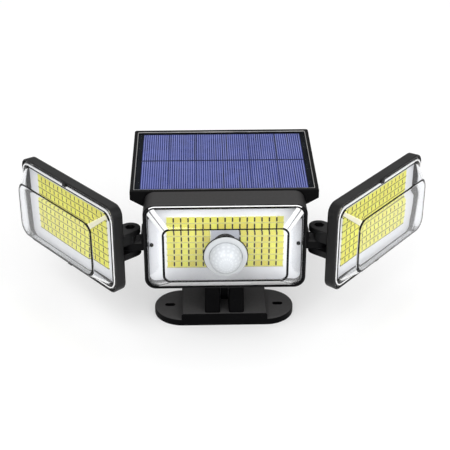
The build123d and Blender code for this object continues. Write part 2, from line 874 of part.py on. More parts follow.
for side, name in ((-1, "left"), (1, "right")):
    face = head_face(side)
    seat = lens_seat(face, head_lens_width, head_lens_height, head_cavity)
    posts = board_posts(face, head_lens_width, head_lens_height, head_cavity, head_board_setback)
    ears = [
        hinge_ear(hinge_plane(side, upper_ear_low, face.x_dir), upper_ear, -1),
        hinge_ear(hinge_plane(side, lower_ear_low, face.x_dir), lower_ear, 0),
    ]
    with BuildPart() as head_housing:
        with BuildSketch(face.offset(-head_depth)):
            RectangleRounded(
                head_width - 2 * head_taper, head_height - 2 * head_taper, head_corner - head_taper
            )
        with BuildSketch(face):
            RectangleRounded(head_width, head_height, head_corner)
        loft(ruled=True)
        fillet(front_face(head_housing.part, face).edges(), head_edge)
        fillet(back_face(head_housing.part, face).edges(), head_back_edge)
        add(seat, mode=Mode.SUBTRACT)
        add(posts)
        add(ears)
        with BuildSketch(hinge_plane(side, upper_ear_low)):
            with Locations((-side * (notch_reach + ear_radius), 0)):
                Rectangle(2 * ear_radius, 2 * ear_radius)
        extrude(amount=notch_height, mode=Mode.SUBTRACT)
        with BuildSketch(hinge_plane(side, lower_ear_low)):
            Circle(hinge_bore)
        extrude(amount=hinge_top - lower_ear_low, mode=Mode.SUBTRACT)
        with BuildSketch(hinge_plane(side, nut_seat)):
            RegularPolygon(hinge_nut_flats / 2 + pin_fit, 6, major_radius=False)
        extrude(amount=hinge_recess, mode=Mode.SUBTRACT)
        with BuildSketch(hinge_plane(side, lower_ear_low)):
            Circle(hinge_head_diameter / 2 + seat_fit)
        extrude(amount=screw_seat - lower_ear_low, mode=Mode.SUBTRACT)
    finish(head_housing.part, f"{name}_housing")
    finish(
        lens_cover(
            face,
            head_lens_width,
            head_lens_height,
            (foot_width, foot_height),
            (foot_width - 2 * head_lens_inset, foot_height - 2 * head_lens_inset),
            head_lens_rise,
            head_pane_corner,
        ),
        f"{name}_lens",
    )
    finish(lens_seal(face, head_lens_width, head_lens_height), f"{name}_lens_seal")
    finish(
        led_board(face, head_lens_width, head_lens_height, head_board_setback),
        f"{name}_led_board",
    )
    finish(
        led_chips(face, head_board_setback, head_led_pitch_x, head_led_pitch_z, head_led_lift),
        f"{name}_leds",
    )
    seat_below = Plane(hinge_plane(side, screw_seat).origin, x_dir=(1, 0, 0), z_dir=(0, 0, -1))
    shank_length = nut_seat + hinge_nut_height - screw_seat
    finish(
        machine_screw(
            seat_below, hinge_bolt_diameter, shank_length, hinge_head_diameter, hinge_head_height
        ),
        f"{name}_hinge_screw",
    )
    finish(
        hex_nut(hinge_plane(side, nut_seat), hinge_nut_flats, hinge_nut_height, hinge_bore),
        f"{name}_hinge_nut",
    )
    finish(
        washer_pair(
            hinge_plane(side, lower_ear_top),
            hinge_plane(side, upper_ear_low - washer_thickness),
            hinge_bore,
            ear_radius - washer_thickness,
        ),
        f"{name}_hinge_washers",
    )
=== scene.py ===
"""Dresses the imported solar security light: lenses, LED fields, sensor dome, panel wiring and studio."""
import json
import logging
import math
from contextlib import contextmanager
from dataclasses import dataclass, field, replace
from enum import Enum
from functools import wraps
from typing import Callable, Iterator

import bmesh
import bpy
from mathutils import Matrix, Vector


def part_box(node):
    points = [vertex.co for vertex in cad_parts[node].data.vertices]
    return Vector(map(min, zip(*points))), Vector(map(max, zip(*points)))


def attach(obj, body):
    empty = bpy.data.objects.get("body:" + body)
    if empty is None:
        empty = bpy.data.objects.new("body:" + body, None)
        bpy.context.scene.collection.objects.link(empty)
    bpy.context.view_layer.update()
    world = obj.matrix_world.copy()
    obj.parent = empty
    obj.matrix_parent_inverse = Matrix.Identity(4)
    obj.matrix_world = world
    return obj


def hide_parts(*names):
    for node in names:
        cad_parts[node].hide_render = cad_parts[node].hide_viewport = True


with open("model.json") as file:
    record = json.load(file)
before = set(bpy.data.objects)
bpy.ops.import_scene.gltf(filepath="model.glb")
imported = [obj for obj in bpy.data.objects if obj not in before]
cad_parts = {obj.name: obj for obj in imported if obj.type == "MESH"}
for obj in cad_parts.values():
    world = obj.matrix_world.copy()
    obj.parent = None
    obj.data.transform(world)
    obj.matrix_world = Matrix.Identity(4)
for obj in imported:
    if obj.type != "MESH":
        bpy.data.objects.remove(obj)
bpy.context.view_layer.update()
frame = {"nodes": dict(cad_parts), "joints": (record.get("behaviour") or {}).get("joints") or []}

LOG = logging.getLogger("security_light")
MM = 0.001
TOUCH = 0.01 * MM
FACING = 0.9
WHITE = (1.0, 1.0, 1.0, 1.0)

Colour = tuple[float, float, float, float]
Pair = tuple[float, float]
Triple = tuple[float, float, float]
Value = float | tuple | bpy.types.NodeSocket


class Body(str, Enum):
    """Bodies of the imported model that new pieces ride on."""

    LAMP = "lamp"
    LEFT = "left_head"
    RIGHT = "right_head"


class Slot(str, Enum):
    """Slots of the record's finishes, listed beside new pieces in the build tables."""

    CLEAR_LENS = "clear_lens"
    LED_CHIP = "led_chip"
    WHITE_BOARD = "white_board"
    SENSOR_DOME = "sensor_dome"
    SENSOR_WHITE = "sensor_white"
    SEAL_RUBBER = "seal_rubber"
    SOLAR_CELL = "solar_cell"
    PANEL_COVER = "panel_cover"
    PANEL_BACK = "panel_back"


class Pick(str, Enum):
    """What the operators of edit mode select."""

    CORNERS = "VERT"
    EDGES = "EDGE"
    FACES = "FACE"


class Side(Enum):
    """Left or right, seen from the front."""

    LEFT = -1
    RIGHT = 1


def srgb(red: int, green: int, blue: int) -> Colour:
    """Turn a display colour into the linear one that shaders take.

    Args:
        red: Red, 0 to 255.
        green: Green, 0 to 255.
        blue: Blue, 0 to 255.

    Returns:
        The linear colour with full opacity.
    """
    linear = []
    for channel in (red, green, blue):
        share = channel / 255
        linear.append(share / 12.92 if share <= 0.04045 else ((share + 0.055) / 1.055) ** 2.4)
    return (*linear, 1.0)


@dataclass(frozen=True)
class Place:
    """Local frame of a face: x along its width, -y outwards and z up, in the part's frame."""

    origin: Vector
    tilt: float = 0.0
    turn: float = 0.0

    def matrix(self) -> Matrix:
        """Return the matrix that takes local points into the part's frame."""
        spin = Matrix.Rotation(self.turn, 4, "Z") @ Matrix.Rotation(self.tilt, 4, "X")
        return Matrix.Translation(self.origin) @ spin


@dataclass(frozen=True)
class Rim:
    """Outer edge of a moulding: a rounded rectangle in the x and z plane of a place."""

    place: Place
    half_width: float
    half_height: float
    corner: float


class Bench:
    """Modelling moves, each made with Blender's own operators on one piece at a time."""

    @staticmethod
    def clear() -> None:
        """Leave edit mode and deselect everything."""
        if bpy.context.object is not None and bpy.context.object.mode != "OBJECT":
            bpy.ops.object.mode_set(mode="OBJECT")
        bpy.ops.object.select_all(action="DESELECT")

    @staticmethod
    def hold(piece: bpy.types.Object) -> None:
        """Make one piece the only selected and active object.

        Args:
            piece: The piece.
        """
        Bench.clear()
        piece.select_set(True)
        bpy.context.view_layer.objects.active = piece

    @staticmethod
    def named(name: str) -> bpy.types.Object:
        """Name the object that an operator has just added and apply its place.

        Args:
            name: Its name.

        Returns:
            The object.
        """
        piece = bpy.context.object
        piece.name = name
        piece.data.name = name
        bpy.ops.object.transform_apply(location=True, rotation=True, scale=True)
        return piece

    @staticmethod
    def slab(name: str, size: Vector, centre: Vector) -> bpy.types.Object:
        """Add a block.

        Args:
            name: Name of the new piece.
            size: Its lengths along x, y and z.
            centre: Its middle.

        Returns:
            The new piece.
        """
        Bench.clear()
        bpy.ops.mesh.primitive_cube_add(size=1.0, location=centre)
        bpy.context.object.scale = size
        return Bench.named(name)

    @staticmethod
    def disc(
        name: str, radius: float, thickness: float, front: float, sides: int
    ) -> bpy.types.Object:
        """Add a round block whose axis runs along y.

        Args:
            name: Name of the new piece.
            radius: Its radius.
            thickness: Its length along y.
            front: The y of its front face, which looks along -y.
            sides: Number of sides.

        Returns:
            The new piece.
        """
        Bench.clear()
        bpy.ops.mesh.primitive_cylinder_add(
            vertices=sides,
            radius=radius,
            depth=thickness,
            location=(0, front + thickness / 2, 0),
            rotation=(math.pi / 2, 0, 0),
        )
        return Bench.named(name)

    @staticmethod
    def rounded_sheet(
        name: str, width: float, height: float, corner: float, depth: float, steps: int
    ) -> bpy.types.Object:
        """Add a flat sheet with round corners that looks along -y.

        Args:
            name: Name of the new piece.
            width: Length along x.
            height: Length along z.
            corner: Radius of its corners.
            depth: The y at which it lies.
            steps: Segments in each corner.

        Returns:
            The new piece.
        """
        Bench.clear()
        bpy.ops.mesh.primitive_plane_add(
            size=1.0, location=(0, depth, 0), rotation=(math.pi / 2, 0, 0)
        )
        bpy.context.object.scale = (width, height, 1.0)
        piece = Bench.named(name)
        with Bench.editing(piece, Pick.CORNERS):
            bpy.ops.mesh.select_all(action="SELECT")
            bpy.ops.mesh.bevel(offset=corner, segments=steps, affect="VERTICES")
        return piece

    @staticmethod
    def band(
        name: str, width: float, height: float, corner: float, breadth: float, proud: float
    ) -> bpy.types.Object:
        """Add a narrow raised band along a rounded rectangle in the plane y = 0.

        Args:
            name: Name of the new piece.
            width: Outer length along x.
            height: Outer length along z.
            corner: Outer radius of its corners.
            breadth: Breadth of the band.
            proud: How far it stands out along -y.

        Returns:
            The new piece.
        """
        corner_steps = 8
        softening = 0.3 * min(breadth, proud)
        ring = Bench.rounded_sheet(name, width, height, corner, 0.0, corner_steps)
        with Bench.editing(ring):
            bpy.ops.mesh.select_all(action="SELECT")
            bpy.ops.mesh.inset(thickness=breadth)
            bpy.ops.mesh.delete(type="FACE")
        Bench.modify(ring, "SOLIDIFY", thickness=proud, offset=1.0, use_even_offset=True)
        Bench.modify(ring, "BEVEL", width=softening, segments=2, angle_limit=1.0)
        return ring

    @staticmethod
    @contextmanager
    def editing(piece: bpy.types.Object, kind: Pick = Pick.FACES) -> Iterator[None]:
        """Open a piece in edit mode with nothing selected, and close it again.

        Args:
            piece: The piece to edit.
            kind: What the operators select.

        Yields:
            Nothing, while the piece is open.
        """
        Bench.hold(piece)
        bpy.ops.object.mode_set(mode="EDIT")
        bpy.ops.mesh.select_mode(type=kind.value)
        bpy.ops.mesh.select_all(action="DESELECT")
        yield
        bpy.ops.object.mode_set(mode="OBJECT")

    @staticmethod
    def pick_faces(piece: bpy.types.Object, test: Callable[[Vector, Vector], bool]) -> None:
        """Select the faces that pass a test, in edit mode.

        Args:
            piece: The piece in edit mode.
            test: Takes a face's middle and normal.
        """
        mesh = bmesh.from_edit_mesh(piece.data)
        for face in mesh.faces:
            face.select_set(test(face.calc_center_median(), face.normal))
        bmesh.update_edit_mesh(piece.data)

    @staticmethod
    def pick_edges(piece: bpy.types.Object, test: Callable[[Vector, Vector], bool]) -> None:
        """Select the edges that pass a test, in edit mode.

        Args:
            piece: The piece in edit mode.
            test: Takes an edge's two ends.
        """
        mesh = bmesh.from_edit_mesh(piece.data)
        for edge in mesh.edges:
            edge.select_set(test(edge.verts[0].co, edge.verts[1].co))
        bmesh.update_edit_mesh(piece.data)

    @staticmethod
    def soften(
        piece: bpy.types.Object,
        test: Callable[[Vector, Vector], bool],
        offset: float,
        segments: int = 1,
    ) -> None:
        """Bevel the edges of a piece that pass a test.

        Args:
            piece: The piece, in object mode.
            test: Takes an edge's two ends.
            offset: Width of the bevel.
            segments: Its segments.
        """
        with Bench.editing(piece, Pick.EDGES):
            Bench.pick_edges(piece, test)
            bpy.ops.mesh.bevel(offset=offset, segments=segments)

    @staticmethod
    def push(along: float) -> None:
        """Extrude the selected faces along y, in edit mode."""
        bpy.ops.mesh.extrude_region_move(TRANSFORM_OT_translate={"value": (0, along, 0)})

    @staticmethod
    def dress_selection(piece: bpy.types.Object, index: int) -> None:
        """Give the selected faces one of the piece's finishes, in edit mode."""
        piece.active_material_index = index
        bpy.ops.object.material_slot_assign()

    @staticmethod
    def load_finishes(piece: bpy.types.Object, *finishes: bpy.types.Material) -> None:
        """Add finishes to a piece's list, the first of which covers it."""
        for finish in finishes:
            piece.data.materials.append(finish)

    @staticmethod
    def modify(piece: bpy.types.Object, kind: str, **settings: object) -> None:
        """Add a modifier to a piece and apply it.

        Args:
            piece: The piece.
            kind: The modifier's type.
            settings: The modifier's own settings.
        """
        Bench.hold(piece)
        modifier = piece.modifiers.new(kind.title(), kind)
        for key, value in settings.items():
            setattr(modifier, key, value)
        bpy.ops.object.modifier_apply(modifier=modifier.name)

    @staticmethod
    def repeat(piece: bpy.types.Object, count: int, step: Vector) -> None:
        """Repeat a piece's mesh along a line.

        Args:
            piece: The piece.
            count: How many there are in the end.
            step: From each to the next.
        """
        Bench.modify(
            piece,
            "ARRAY",
            count=count,
            use_relative_offset=False,
            use_constant_offset=True,
            constant_offset_displace=step,
        )

    @staticmethod
    def join(pieces: list[bpy.types.Object]) -> bpy.types.Object:
        """Join pieces into the first of them.

        Args:
            pieces: The pieces.

        Returns:
            The first piece, which now holds them all.
        """
        Bench.hold(pieces[0])
        for piece in pieces[1:]:
            piece.select_set(True)
        bpy.ops.object.join()
        return pieces[0]

    @staticmethod
    def face_outwards(piece: bpy.types.Object) -> None:
        """Merge doubles and turn every face outwards.

        Args:
            piece: The piece.
        """
        with Bench.editing(piece, Pick.CORNERS):
            bpy.ops.mesh.select_all(action="SELECT")
            bpy.ops.mesh.remove_doubles(threshold=0.2 * TOUCH)
            bpy.ops.mesh.normals_make_consistent(inside=False)

    @staticmethod
    def smooth(piece: bpy.types.Object, degrees: float) -> None:
        """Shade a piece smooth, with creases sharper than an angle kept."""
        Bench.hold(piece)
        bpy.ops.object.shade_smooth_by_angle(angle=math.radians(degrees))

    @staticmethod
    def settle(piece: bpy.types.Object, place: Place) -> None:
        """Move a piece from its local frame into the part's frame, with its place in its mesh.

        Args:
            piece: The piece.
            place: Its local frame.
        """
        Bench.hold(piece)
        piece.matrix_world = place.matrix()
        bpy.ops.object.transform_apply(location=True, rotation=True, scale=True)


class Graph:
    """Adds nodes to one node tree and links them."""

    def __init__(self, tree: bpy.types.NodeTree) -> None:
        """Keep the tree that the nodes go into."""
        self.tree = tree

    def add(self, kind: str, **settings: object) -> bpy.types.Node:
        """Add a node.

        Args:
            kind: Blender's name of the node type, without its ShaderNode prefix.
            settings: The node's own settings.

        Returns:
            The new node.
        """
        node = self.tree.nodes.new(f"ShaderNode{kind}")
        for key, value in settings.items():
            setattr(node, key, value)
        return node

    def feed(self, target: bpy.types.NodeSocket, value: Value) -> None:
        """Link a socket to an input, or set the input's own value.

        Args:
            target: The input.
            value: The socket or the value.
        """
        if isinstance(value, bpy.types.NodeSocket):
            self.tree.links.new(value, target)
        else:
            target.default_value = value

    def feed_all(self, node: bpy.types.Node, **values: Value) -> None:
        """Feed several inputs of a node, each named by its label with _ for spaces.

        Args:
            node: The node.
            values: What goes into each input.
        """
        for name, value in values.items():
            self.feed(node.inputs[name.replace("_", " ")], value)

    def math(self, operation: str, first: Value, second: Value = 0.0) -> bpy.types.NodeSocket:
        """Add a Math node.

        Args:
            operation: What it works out.
            first: Its first value.
            second: Its second value.

        Returns:
            The result.
        """
        node = self.add("Math", operation=operation)
        self.feed(node.inputs[0], first)
        self.feed(node.inputs[1], second)
        return node.outputs[0]

    def vector(
        self, operation: str, first: Value, second: Value = (0.0, 0.0, 0.0)
    ) -> bpy.types.NodeSocket:
        """Add a Vector Math node.

        Args:
            operation: What it works out.
            first: Its first vector.
            second: Its second vector.

        Returns:
            The resulting vector.
        """
        node = self.add("VectorMath", operation=operation)
        self.feed(node.inputs[0], first)
        self.feed(node.inputs[1], second)
        return node.outputs[0]

    def parts(self, vector: Value) -> bpy.types.bpy_prop_collection:
        """Split a vector.

        Args:
            vector: The vector.

        Returns:
            Its x, y and z.
        """
        node = self.add("SeparateXYZ")
        self.feed(node.inputs[0], vector)
        return node.outputs

    def noise(
        self, vector: Value, scale: Value, detail: float = 2.0, roughness: float = 0.5
    ) -> bpy.types.NodeSocket:
        """Add a Noise texture.

        Args:
            vector: Where it is read.
            scale: How many lumps there are in a metre.
            detail: How many finer layers it has.
            roughness: How strong those are.

        Returns:
            The noise, 0 to 1.
        """
        node = self.add("TexNoise")
        self.feed_all(node, Vector=vector, Scale=scale, Detail=detail, Roughness=roughness)
        return node.outputs[0]

    def remap(
        self, value: Value, low: Value, high: Value, start: Value = 0.0, end: Value = 1.0
    ) -> bpy.types.NodeSocket:
        """Map a value from one range to another, clamped.

        Args:
            value: The value.
            low: Where the first range starts.
            high: Where it ends.
            start: Where the second range starts.
            end: Where it ends.

        Returns:
            The mapped value.
        """
        node = self.add("MapRange")
        for socket, given in zip(node.inputs, (value, low, high, start, end)):
            self.feed(socket, given)
        return node.outputs[0]

    def mix(self, factor: Value, first: Value, second: Value) -> bpy.types.NodeSocket:
        """Mix two colours.

        Args:
            factor: Share of the second colour.
            first: The first colour.
            second: The second colour.

        Returns:
            The mixed colour.
        """
        node = self.add("Mix", data_type="RGBA")
        for index, value in ((0, factor), (6, first), (7, second)):
            self.feed(node.inputs[index], value)
        return node.outputs[2]

    def bump(self, height: Value, distance: float, strength: float) -> bpy.types.NodeSocket:
        """Add a Bump node.

        Args:
            height: The height, 0 to 1.
            distance: How far a height of 1 stands out.
            strength: Share of the effect.

        Returns:
            The bumped normal.
        """
        node = self.add("Bump")
        self.feed_all(node, Height=height, Distance=distance, Strength=strength)
        return node.outputs[0]

    def local(self, place: Place | None = None) -> bpy.types.NodeSocket:
        """Add the piece's own coordinates.

        Args:
            place: The local frame that they are measured in, if not the part's.

        Returns:
            The coordinates.
        """
        coordinates = self.add("TexCoord").outputs["Object"]
        if place is None:
            return coordinates
        node = self.add("Mapping", vector_type="TEXTURE")
        turned = (place.tilt, 0.0, place.turn)
        self.feed_all(node, Vector=coordinates, Location=place.origin, Rotation=turned)
        return node.outputs[0]

    def effect(self, group: bpy.types.NodeTree, **values: Value) -> bpy.types.Node:
        """Place a shared effect.

        Args:
            group: The effect's node group.
            values: Its own values, each named by its input with _ for spaces.

        Returns:
            The effect's node.
        """
        node = self.add("Group", node_tree=group)
        self.feed_all(node, **{name.capitalize(): value for name, value in values.items()})
        return node


GroupBuilder = Callable[[], bpy.types.NodeTree]


def built_once(build: GroupBuilder) -> GroupBuilder:
    """Make a builder of a node group give back the group of its own name once that is there.

    Args:
        build: The builder.

    Returns:
        The builder that builds only once.
    """

    @wraps(build)
    def fetch() -> bpy.types.NodeTree:
        """Return the group, built now or before."""
        return bpy.data.node_groups.get(build.__name__) or build()

    return fetch


class Effects:
    """Surface effects that several finishes share, each built once as a node group."""

    @staticmethod
    def start(
        name: str, inputs: dict[str, float | None], *outputs: str
    ) -> tuple[Graph, bpy.types.bpy_prop_collection, bpy.types.bpy_prop_collection]:
        """Open a new node group.

        Args:
            name: Name of the group.
            inputs: Input names with their values, or None for a vector.
            outputs: Names of the values that it puts out.

        Returns:
            The group's graph, what is given to it and what it puts out.
        """
        tree = bpy.data.node_groups.new(name, "ShaderNodeTree")
        for key, value in inputs.items():
            kind = "NodeSocketVector" if value is None else "NodeSocketFloat"
            socket = tree.interface.new_socket(name=key, in_out="INPUT", socket_type=kind)
            if value is not None:
                socket.default_value = value
        for key in outputs:
            tree.interface.new_socket(name=key, in_out="OUTPUT", socket_type="NodeSocketFloat")
        given = tree.nodes.new("NodeGroupInput").outputs
        return Graph(tree), given, tree.nodes.new("NodeGroupOutput").inputs

    @staticmethod
    @built_once
    def moulded_grain() -> bpy.types.NodeTree:
        """Fine grain of a moulded surface, with larger polished and dull patches.

        Returns:
            The group.
        """
        graph, given, result = Effects.start(
            "moulded_grain", {"Vector": None, "Grain": 1500.0, "Patches": 45.0}, "Height", "Patch"
        )
        fine = graph.noise(given["Vector"], given["Grain"], detail=3.0, roughness=0.6)
        broad = graph.noise(given["Vector"], given["Patches"], detail=4.0, roughness=0.55)
        graph.feed(result["Height"], fine)
        graph.feed(result["Patch"], graph.remap(broad, 0.3, 0.7))
        return graph.tree

    @staticmethod
    @built_once
    def dust_and_top_sheen() -> bpy.types.NodeTree:
        """Pale film on faces that look up: thin dust, and painted sheen of the light from above.

        Returns:
            The group.
        """
        graph, given, result = Effects.start("dust_and_top_sheen", {"Vector": None, "Amount": 0.2}, "Dust")
        normal = graph.add("TexCoord").outputs["Normal"]
        upward = graph.remap(graph.parts(normal)[2], 0.4, 1.0)
        specks = graph.noise(given["Vector"], 420.0, detail=5.0, roughness=0.7)
        spread = graph.math("MULTIPLY", upward, graph.remap(specks, 0.35, 0.75, start=0.86, end=1.0))
        graph.feed(result["Dust"], graph.math("MULTIPLY", spread, given["Amount"]))
        return graph.tree

    @staticmethod
    @built_once
    def rubbed_rim_and_highlight() -> bpy.types.NodeTree:
        """Outer rim painted lighter in broken stretches: rubbed wear, and painted highlight along the
        edge.

        Returns:
            The group.
        """
        outline = {"Vector": None, "Half width": 0.05, "Half height": 0.03, "Corner": 0.01}
        graph, given, result = Effects.start(
            "rubbed_rim_and_highlight", {**outline, "Reach": 0.0007, "Amount": 0.5}, "Wear and highlight"
        )
        line = graph.effect(
            Effects.rounded_outline(),
            vector=given["Vector"],
            half_width=given["Half width"],
            half_height=given["Half height"],
            corner=given["Corner"],
            line=given["Reach"],
        ).outputs["Line"]
        depth = graph.math("ABSOLUTE", graph.parts(given["Vector"])[1])
        near = graph.remap(depth, 0.0, given["Reach"], start=1.0, end=0.0)
        breaks = graph.remap(graph.noise(given["Vector"], 120.0, detail=4.0, roughness=0.65), 0.4, 0.6)
        wear_and_highlight = graph.math("MULTIPLY", graph.math("MULTIPLY", line, near), breaks)
        graph.feed(result["Wear and highlight"], graph.math("MULTIPLY", wear_and_highlight, given["Amount"]))
        return graph.tree

    @staticmethod
    @built_once
    def rounded_outline() -> bpy.types.NodeTree:
        """Thin line along a rounded rectangle in the local x and z plane.

        Returns:
            The group.
        """
        graph, given, result = Effects.start(
            "rounded_outline",
            {"Vector": None, "Half width": 0.05, "Half height": 0.03, "Corner": 0.01, "Line": 0.001},
            "Line",
        )
        across, _, up = graph.parts(graph.vector("ABSOLUTE", given["Vector"]))
        corner = given["Corner"]
        over = [
            graph.math("SUBTRACT", along, graph.math("SUBTRACT", half, corner))
            for along, half in ((across, given["Half width"]), (up, given["Half height"]))
        ]
        past = [graph.math("MAXIMUM", value, 0.0) for value in over]
        squares = graph.math("ADD", *(graph.math("MULTIPLY", value, value) for value in past))
        inner = graph.math("MINIMUM", graph.math("MAXIMUM", *over), 0.0)
        reach = graph.math("ADD", graph.math("SQRT", squares), inner)
        distance = graph.math("ABSOLUTE", graph.math("SUBTRACT", reach, corner))
        line = graph.remap(distance, 0.0, given["Line"], start=1.0, end=0.0)
        graph.feed(result["Line"], line)
        return graph.tree

    @staticmethod
    @built_once
    def chip_lottery() -> bpy.types.NodeTree:
        """One steady random value for each chip of an LED field.

        Returns:
            The group.
        """
        graph, given, result = Effects.start(
            "chip_lottery", {"Vector": None, "Pitch x": 0.005, "Pitch z": 0.005}, "Draw"
        )
        across, _, up = graph.parts(given["Vector"])
        cell = graph.add("CombineXYZ")
        for index, (along, pitch) in enumerate(((across, "Pitch x"), (up, "Pitch z"))):
            count = graph.math("FLOOR", graph.math("DIVIDE", along, given[pitch]))
            graph.feed(cell.inputs[index], count)
        draw = graph.add("TexWhiteNoise", noise_dimensions="2D")
        graph.feed(draw.inputs["Vector"], cell.outputs[0])
        graph.feed(result["Draw"], draw.outputs["Value"])
        return graph.tree


def new_material(name: str) -> tuple[bpy.types.Material, Graph, bpy.types.Node]:
    """Start a material.

    Args:
        name: Name of the material.

    Returns:
        The material, its graph and its Principled shader.
    """
    material = bpy.data.materials.new(name)
    material.use_nodes = True
    graph = Graph(material.node_tree)
    return material, graph, material.node_tree.nodes["Principled BSDF"]


@dataclass(frozen=True)
class SatinPlastic:
    """Moulded opaque plastic with a fine grain, dull patches, a rim painted lighter as rubbed wear and
    painted highlight, and a pale upward film of a little dust and painted sheen.
    """

    name: str
    dark: Colour
    light: Colour
    worn: Colour
    roughness: Pair = (0.36, 0.5)
    specular: float = 0.06
    grain: float = 1500.0
    patches: float = 45.0
    depth: float = 0.018 * MM
    relief: float = 0.5
    dust: float = 0.12

    def material(self, rim: Rim | None = None) -> bpy.types.Material:
        """Build the material.

        Args:
            rim: Outer edge that is painted lighter, as rubbed wear and painted highlight, if the moulding
                has one.

        Returns:
            The material.
        """
        material, graph, shader = new_material(self.name)
        where = graph.local()
        grain = graph.effect(
            Effects.moulded_grain(), vector=where, grain=self.grain, patches=self.patches
        ).outputs
        # Upward faces are painted paler: a little dust, and painted sheen of the light from above.
        dust = graph.effect(Effects.dust_and_top_sheen(), vector=where, amount=self.dust).outputs["Dust"]
        tone = graph.mix(grain["Patch"], self.dark, self.light)
        tone = graph.mix(dust, tone, self.worn)
        # The rim is painted lighter: rubbed wear, and painted highlight along the edge.
        if rim is not None:
            wear_and_highlight = graph.effect(
                Effects.rubbed_rim_and_highlight(),
                vector=graph.local(rim.place),
                half_width=rim.half_width,
                half_height=rim.half_height,
                corner=rim.corner,
            ).outputs["Wear and highlight"]
            tone = graph.mix(wear_and_highlight, tone, self.worn)
        gloss = graph.remap(grain["Patch"], 0.0, 1.0, *self.roughness)
        graph.feed_all(
            shader,
            Base_Color=tone,
            Roughness=graph.math("ADD", gloss, dust),
            Specular_IOR_Level=self.specular,
            Normal=graph.bump(grain["Height"], self.depth, self.relief),
        )
        return material


@dataclass(frozen=True)
class ClearPlastic:
    """Clear moulded plastic with faint smears and a slight ripple."""

    name: str
    tint: Colour
    smear: Pair = (0.01, 0.04)
    index: float = 1.45
    ripple: float = 0.1
    smears: float = 60.0
    waves: float = 35.0
    wave_height: float = 0.05 * MM

    def material(self) -> bpy.types.Material:
        """Build the material.

        Returns:
            The material.
        """
        material, graph, shader = new_material(self.name)
        where = graph.local()
        smears = graph.noise(where, self.smears, detail=4.0, roughness=0.6)
        waves = graph.noise(where, self.waves, detail=1.0, roughness=0.4)
        graph.feed_all(
            shader,
            Base_Color=graph.mix(smears, WHITE, self.tint),
            Roughness=graph.remap(smears, 0.4, 0.75, *self.smear),
            Normal=graph.bump(waves, self.wave_height, self.ripple),
            IOR=self.index,
            Transmission_Weight=1.0,
        )
        self.let_light_through(graph, shader)
        return material

    @staticmethod
    def let_light_through(graph: Graph, shader: bpy.types.Node) -> None:
        """Let shadow and diffuse rays pass a clear shader, so that what lies behind it is lit.

        Args:
            graph: The material's graph.
            shader: Its clear shader.
        """
        rays = graph.add("LightPath").outputs
        choice = graph.add("MixShader")
        passing = graph.math("MAXIMUM", rays["Is Shadow Ray"], rays["Is Diffuse Ray"])
        ways = (passing, shader.outputs[0], graph.add("BsdfTransparent").outputs[0])
        for socket, value in zip(choice.inputs, ways):
            graph.feed(socket, value)
        output = graph.tree.nodes["Material Output"]
        graph.feed(output.inputs["Surface"], choice.outputs[0])


@dataclass(frozen=True)
class Phosphor:
    """Yellow phosphor of the LED chips, a little different from chip to chip."""

    name: str
    lemon: Colour
    amber: Colour
    pitch: Pair
    chip_share: float = 0.7
    cloud_share: float = 0.3
    clouds: float = 900.0
    roughness: Pair = (0.35, 0.55)
    depth: float = 0.05 * MM
    relief: float = 0.4

    def material(self, place: Place, lift: float) -> bpy.types.Material:
        """Build the material for one LED field.

        Args:
            place: The local frame of the field's lamp.
            lift: How far the field's middle stands above the lamp's.

        Returns:
            The material.
        """
        material, graph, shader = new_material(self.name)
        where = graph.local(place)
        shifted = graph.vector("SUBTRACT", where, (0.0, 0.0, lift))
        draw = graph.effect(
            Effects.chip_lottery(), vector=shifted, pitch_x=self.pitch[0], pitch_z=self.pitch[1]
        ).outputs["Draw"]
        clouds = graph.noise(where, self.clouds, detail=3.0, roughness=0.6)
        share = graph.math(
            "ADD",
            graph.math("MULTIPLY", draw, self.chip_share),
            graph.math("MULTIPLY", clouds, self.cloud_share),
        )
        graph.feed_all(
            shader,
            Base_Color=graph.mix(share, self.lemon, self.amber),
            Roughness=graph.remap(clouds, 0.3, 0.7, *self.roughness),
            Normal=graph.bump(clouds, self.depth, self.relief),
        )
        return material


@dataclass(frozen=True)
class Enamel:
    """Painted or moulded pale surface with faint specks and unevenness."""

    name: str
    pale: Colour
    shade: Colour
    roughness: Pair = (0.3, 0.5)
    specks: float = 700.0
    patches: float = 30.0
    specular: float = 0.5
    alpha: float = 1.0
    depth: float = 0.02 * MM
    relief: float = 0.4

    def material(self) -> bpy.types.Material:
        """Build the material.

        Returns:
            The material.
        """
        material, graph, shader = new_material(self.name)
        grain = graph.effect(
            Effects.moulded_grain(), vector=graph.local(), grain=self.specks, patches=self.patches
        ).outputs
        both = graph.math("MULTIPLY", grain["Height"], grain["Patch"])
        graph.feed_all(
            shader,
            Base_Color=graph.mix(both, self.pale, self.shade),
            Roughness=graph.remap(grain["Patch"], 0.0, 1.0, *self.roughness),
            Specular_IOR_Level=self.specular,
            Alpha=self.alpha,
            Normal=graph.bump(grain["Height"], self.depth, self.relief),
        )
        return material


@dataclass(frozen=True)
class CellSilicon:
    """Blue crystalline silicon with grains and uneven darker streaks along the fingers."""

    name: str
    blue: Colour
    bright: Colour
    streak: Colour
    specular: float = 0.1
    crystals: float = 160.0
    streaks: Triple = (420.0, 1.0, 9.0)
    streak_band: Pair = (0.56, 0.66)
    roughness: Pair = (0.22, 0.4)

    def material(self, place: Place) -> bpy.types.Material:
        """Build the material.

        Args:
            place: The panel's own frame.

        Returns:
            The material.
        """
        material, graph, shader = new_material(self.name)
        where = graph.local(place)
        crystal = graph.add("TexVoronoi")
        graph.feed_all(crystal, Vector=where, Scale=self.crystals)
        tone = graph.mix(graph.parts(crystal.outputs["Color"])[0], self.blue, self.bright)
        stretched = graph.vector("MULTIPLY", where, self.streaks)
        streaks = graph.remap(graph.noise(stretched, 1.0, detail=3.0, roughness=0.6), *self.streak_band)
        graph.feed_all(
            shader,
            Base_Color=graph.mix(streaks, tone, self.streak),
            Roughness=graph.remap(crystal.outputs["Distance"], 0.0, 0.5, *self.roughness),
            Specular_IOR_Level=self.specular,
        )
        return material


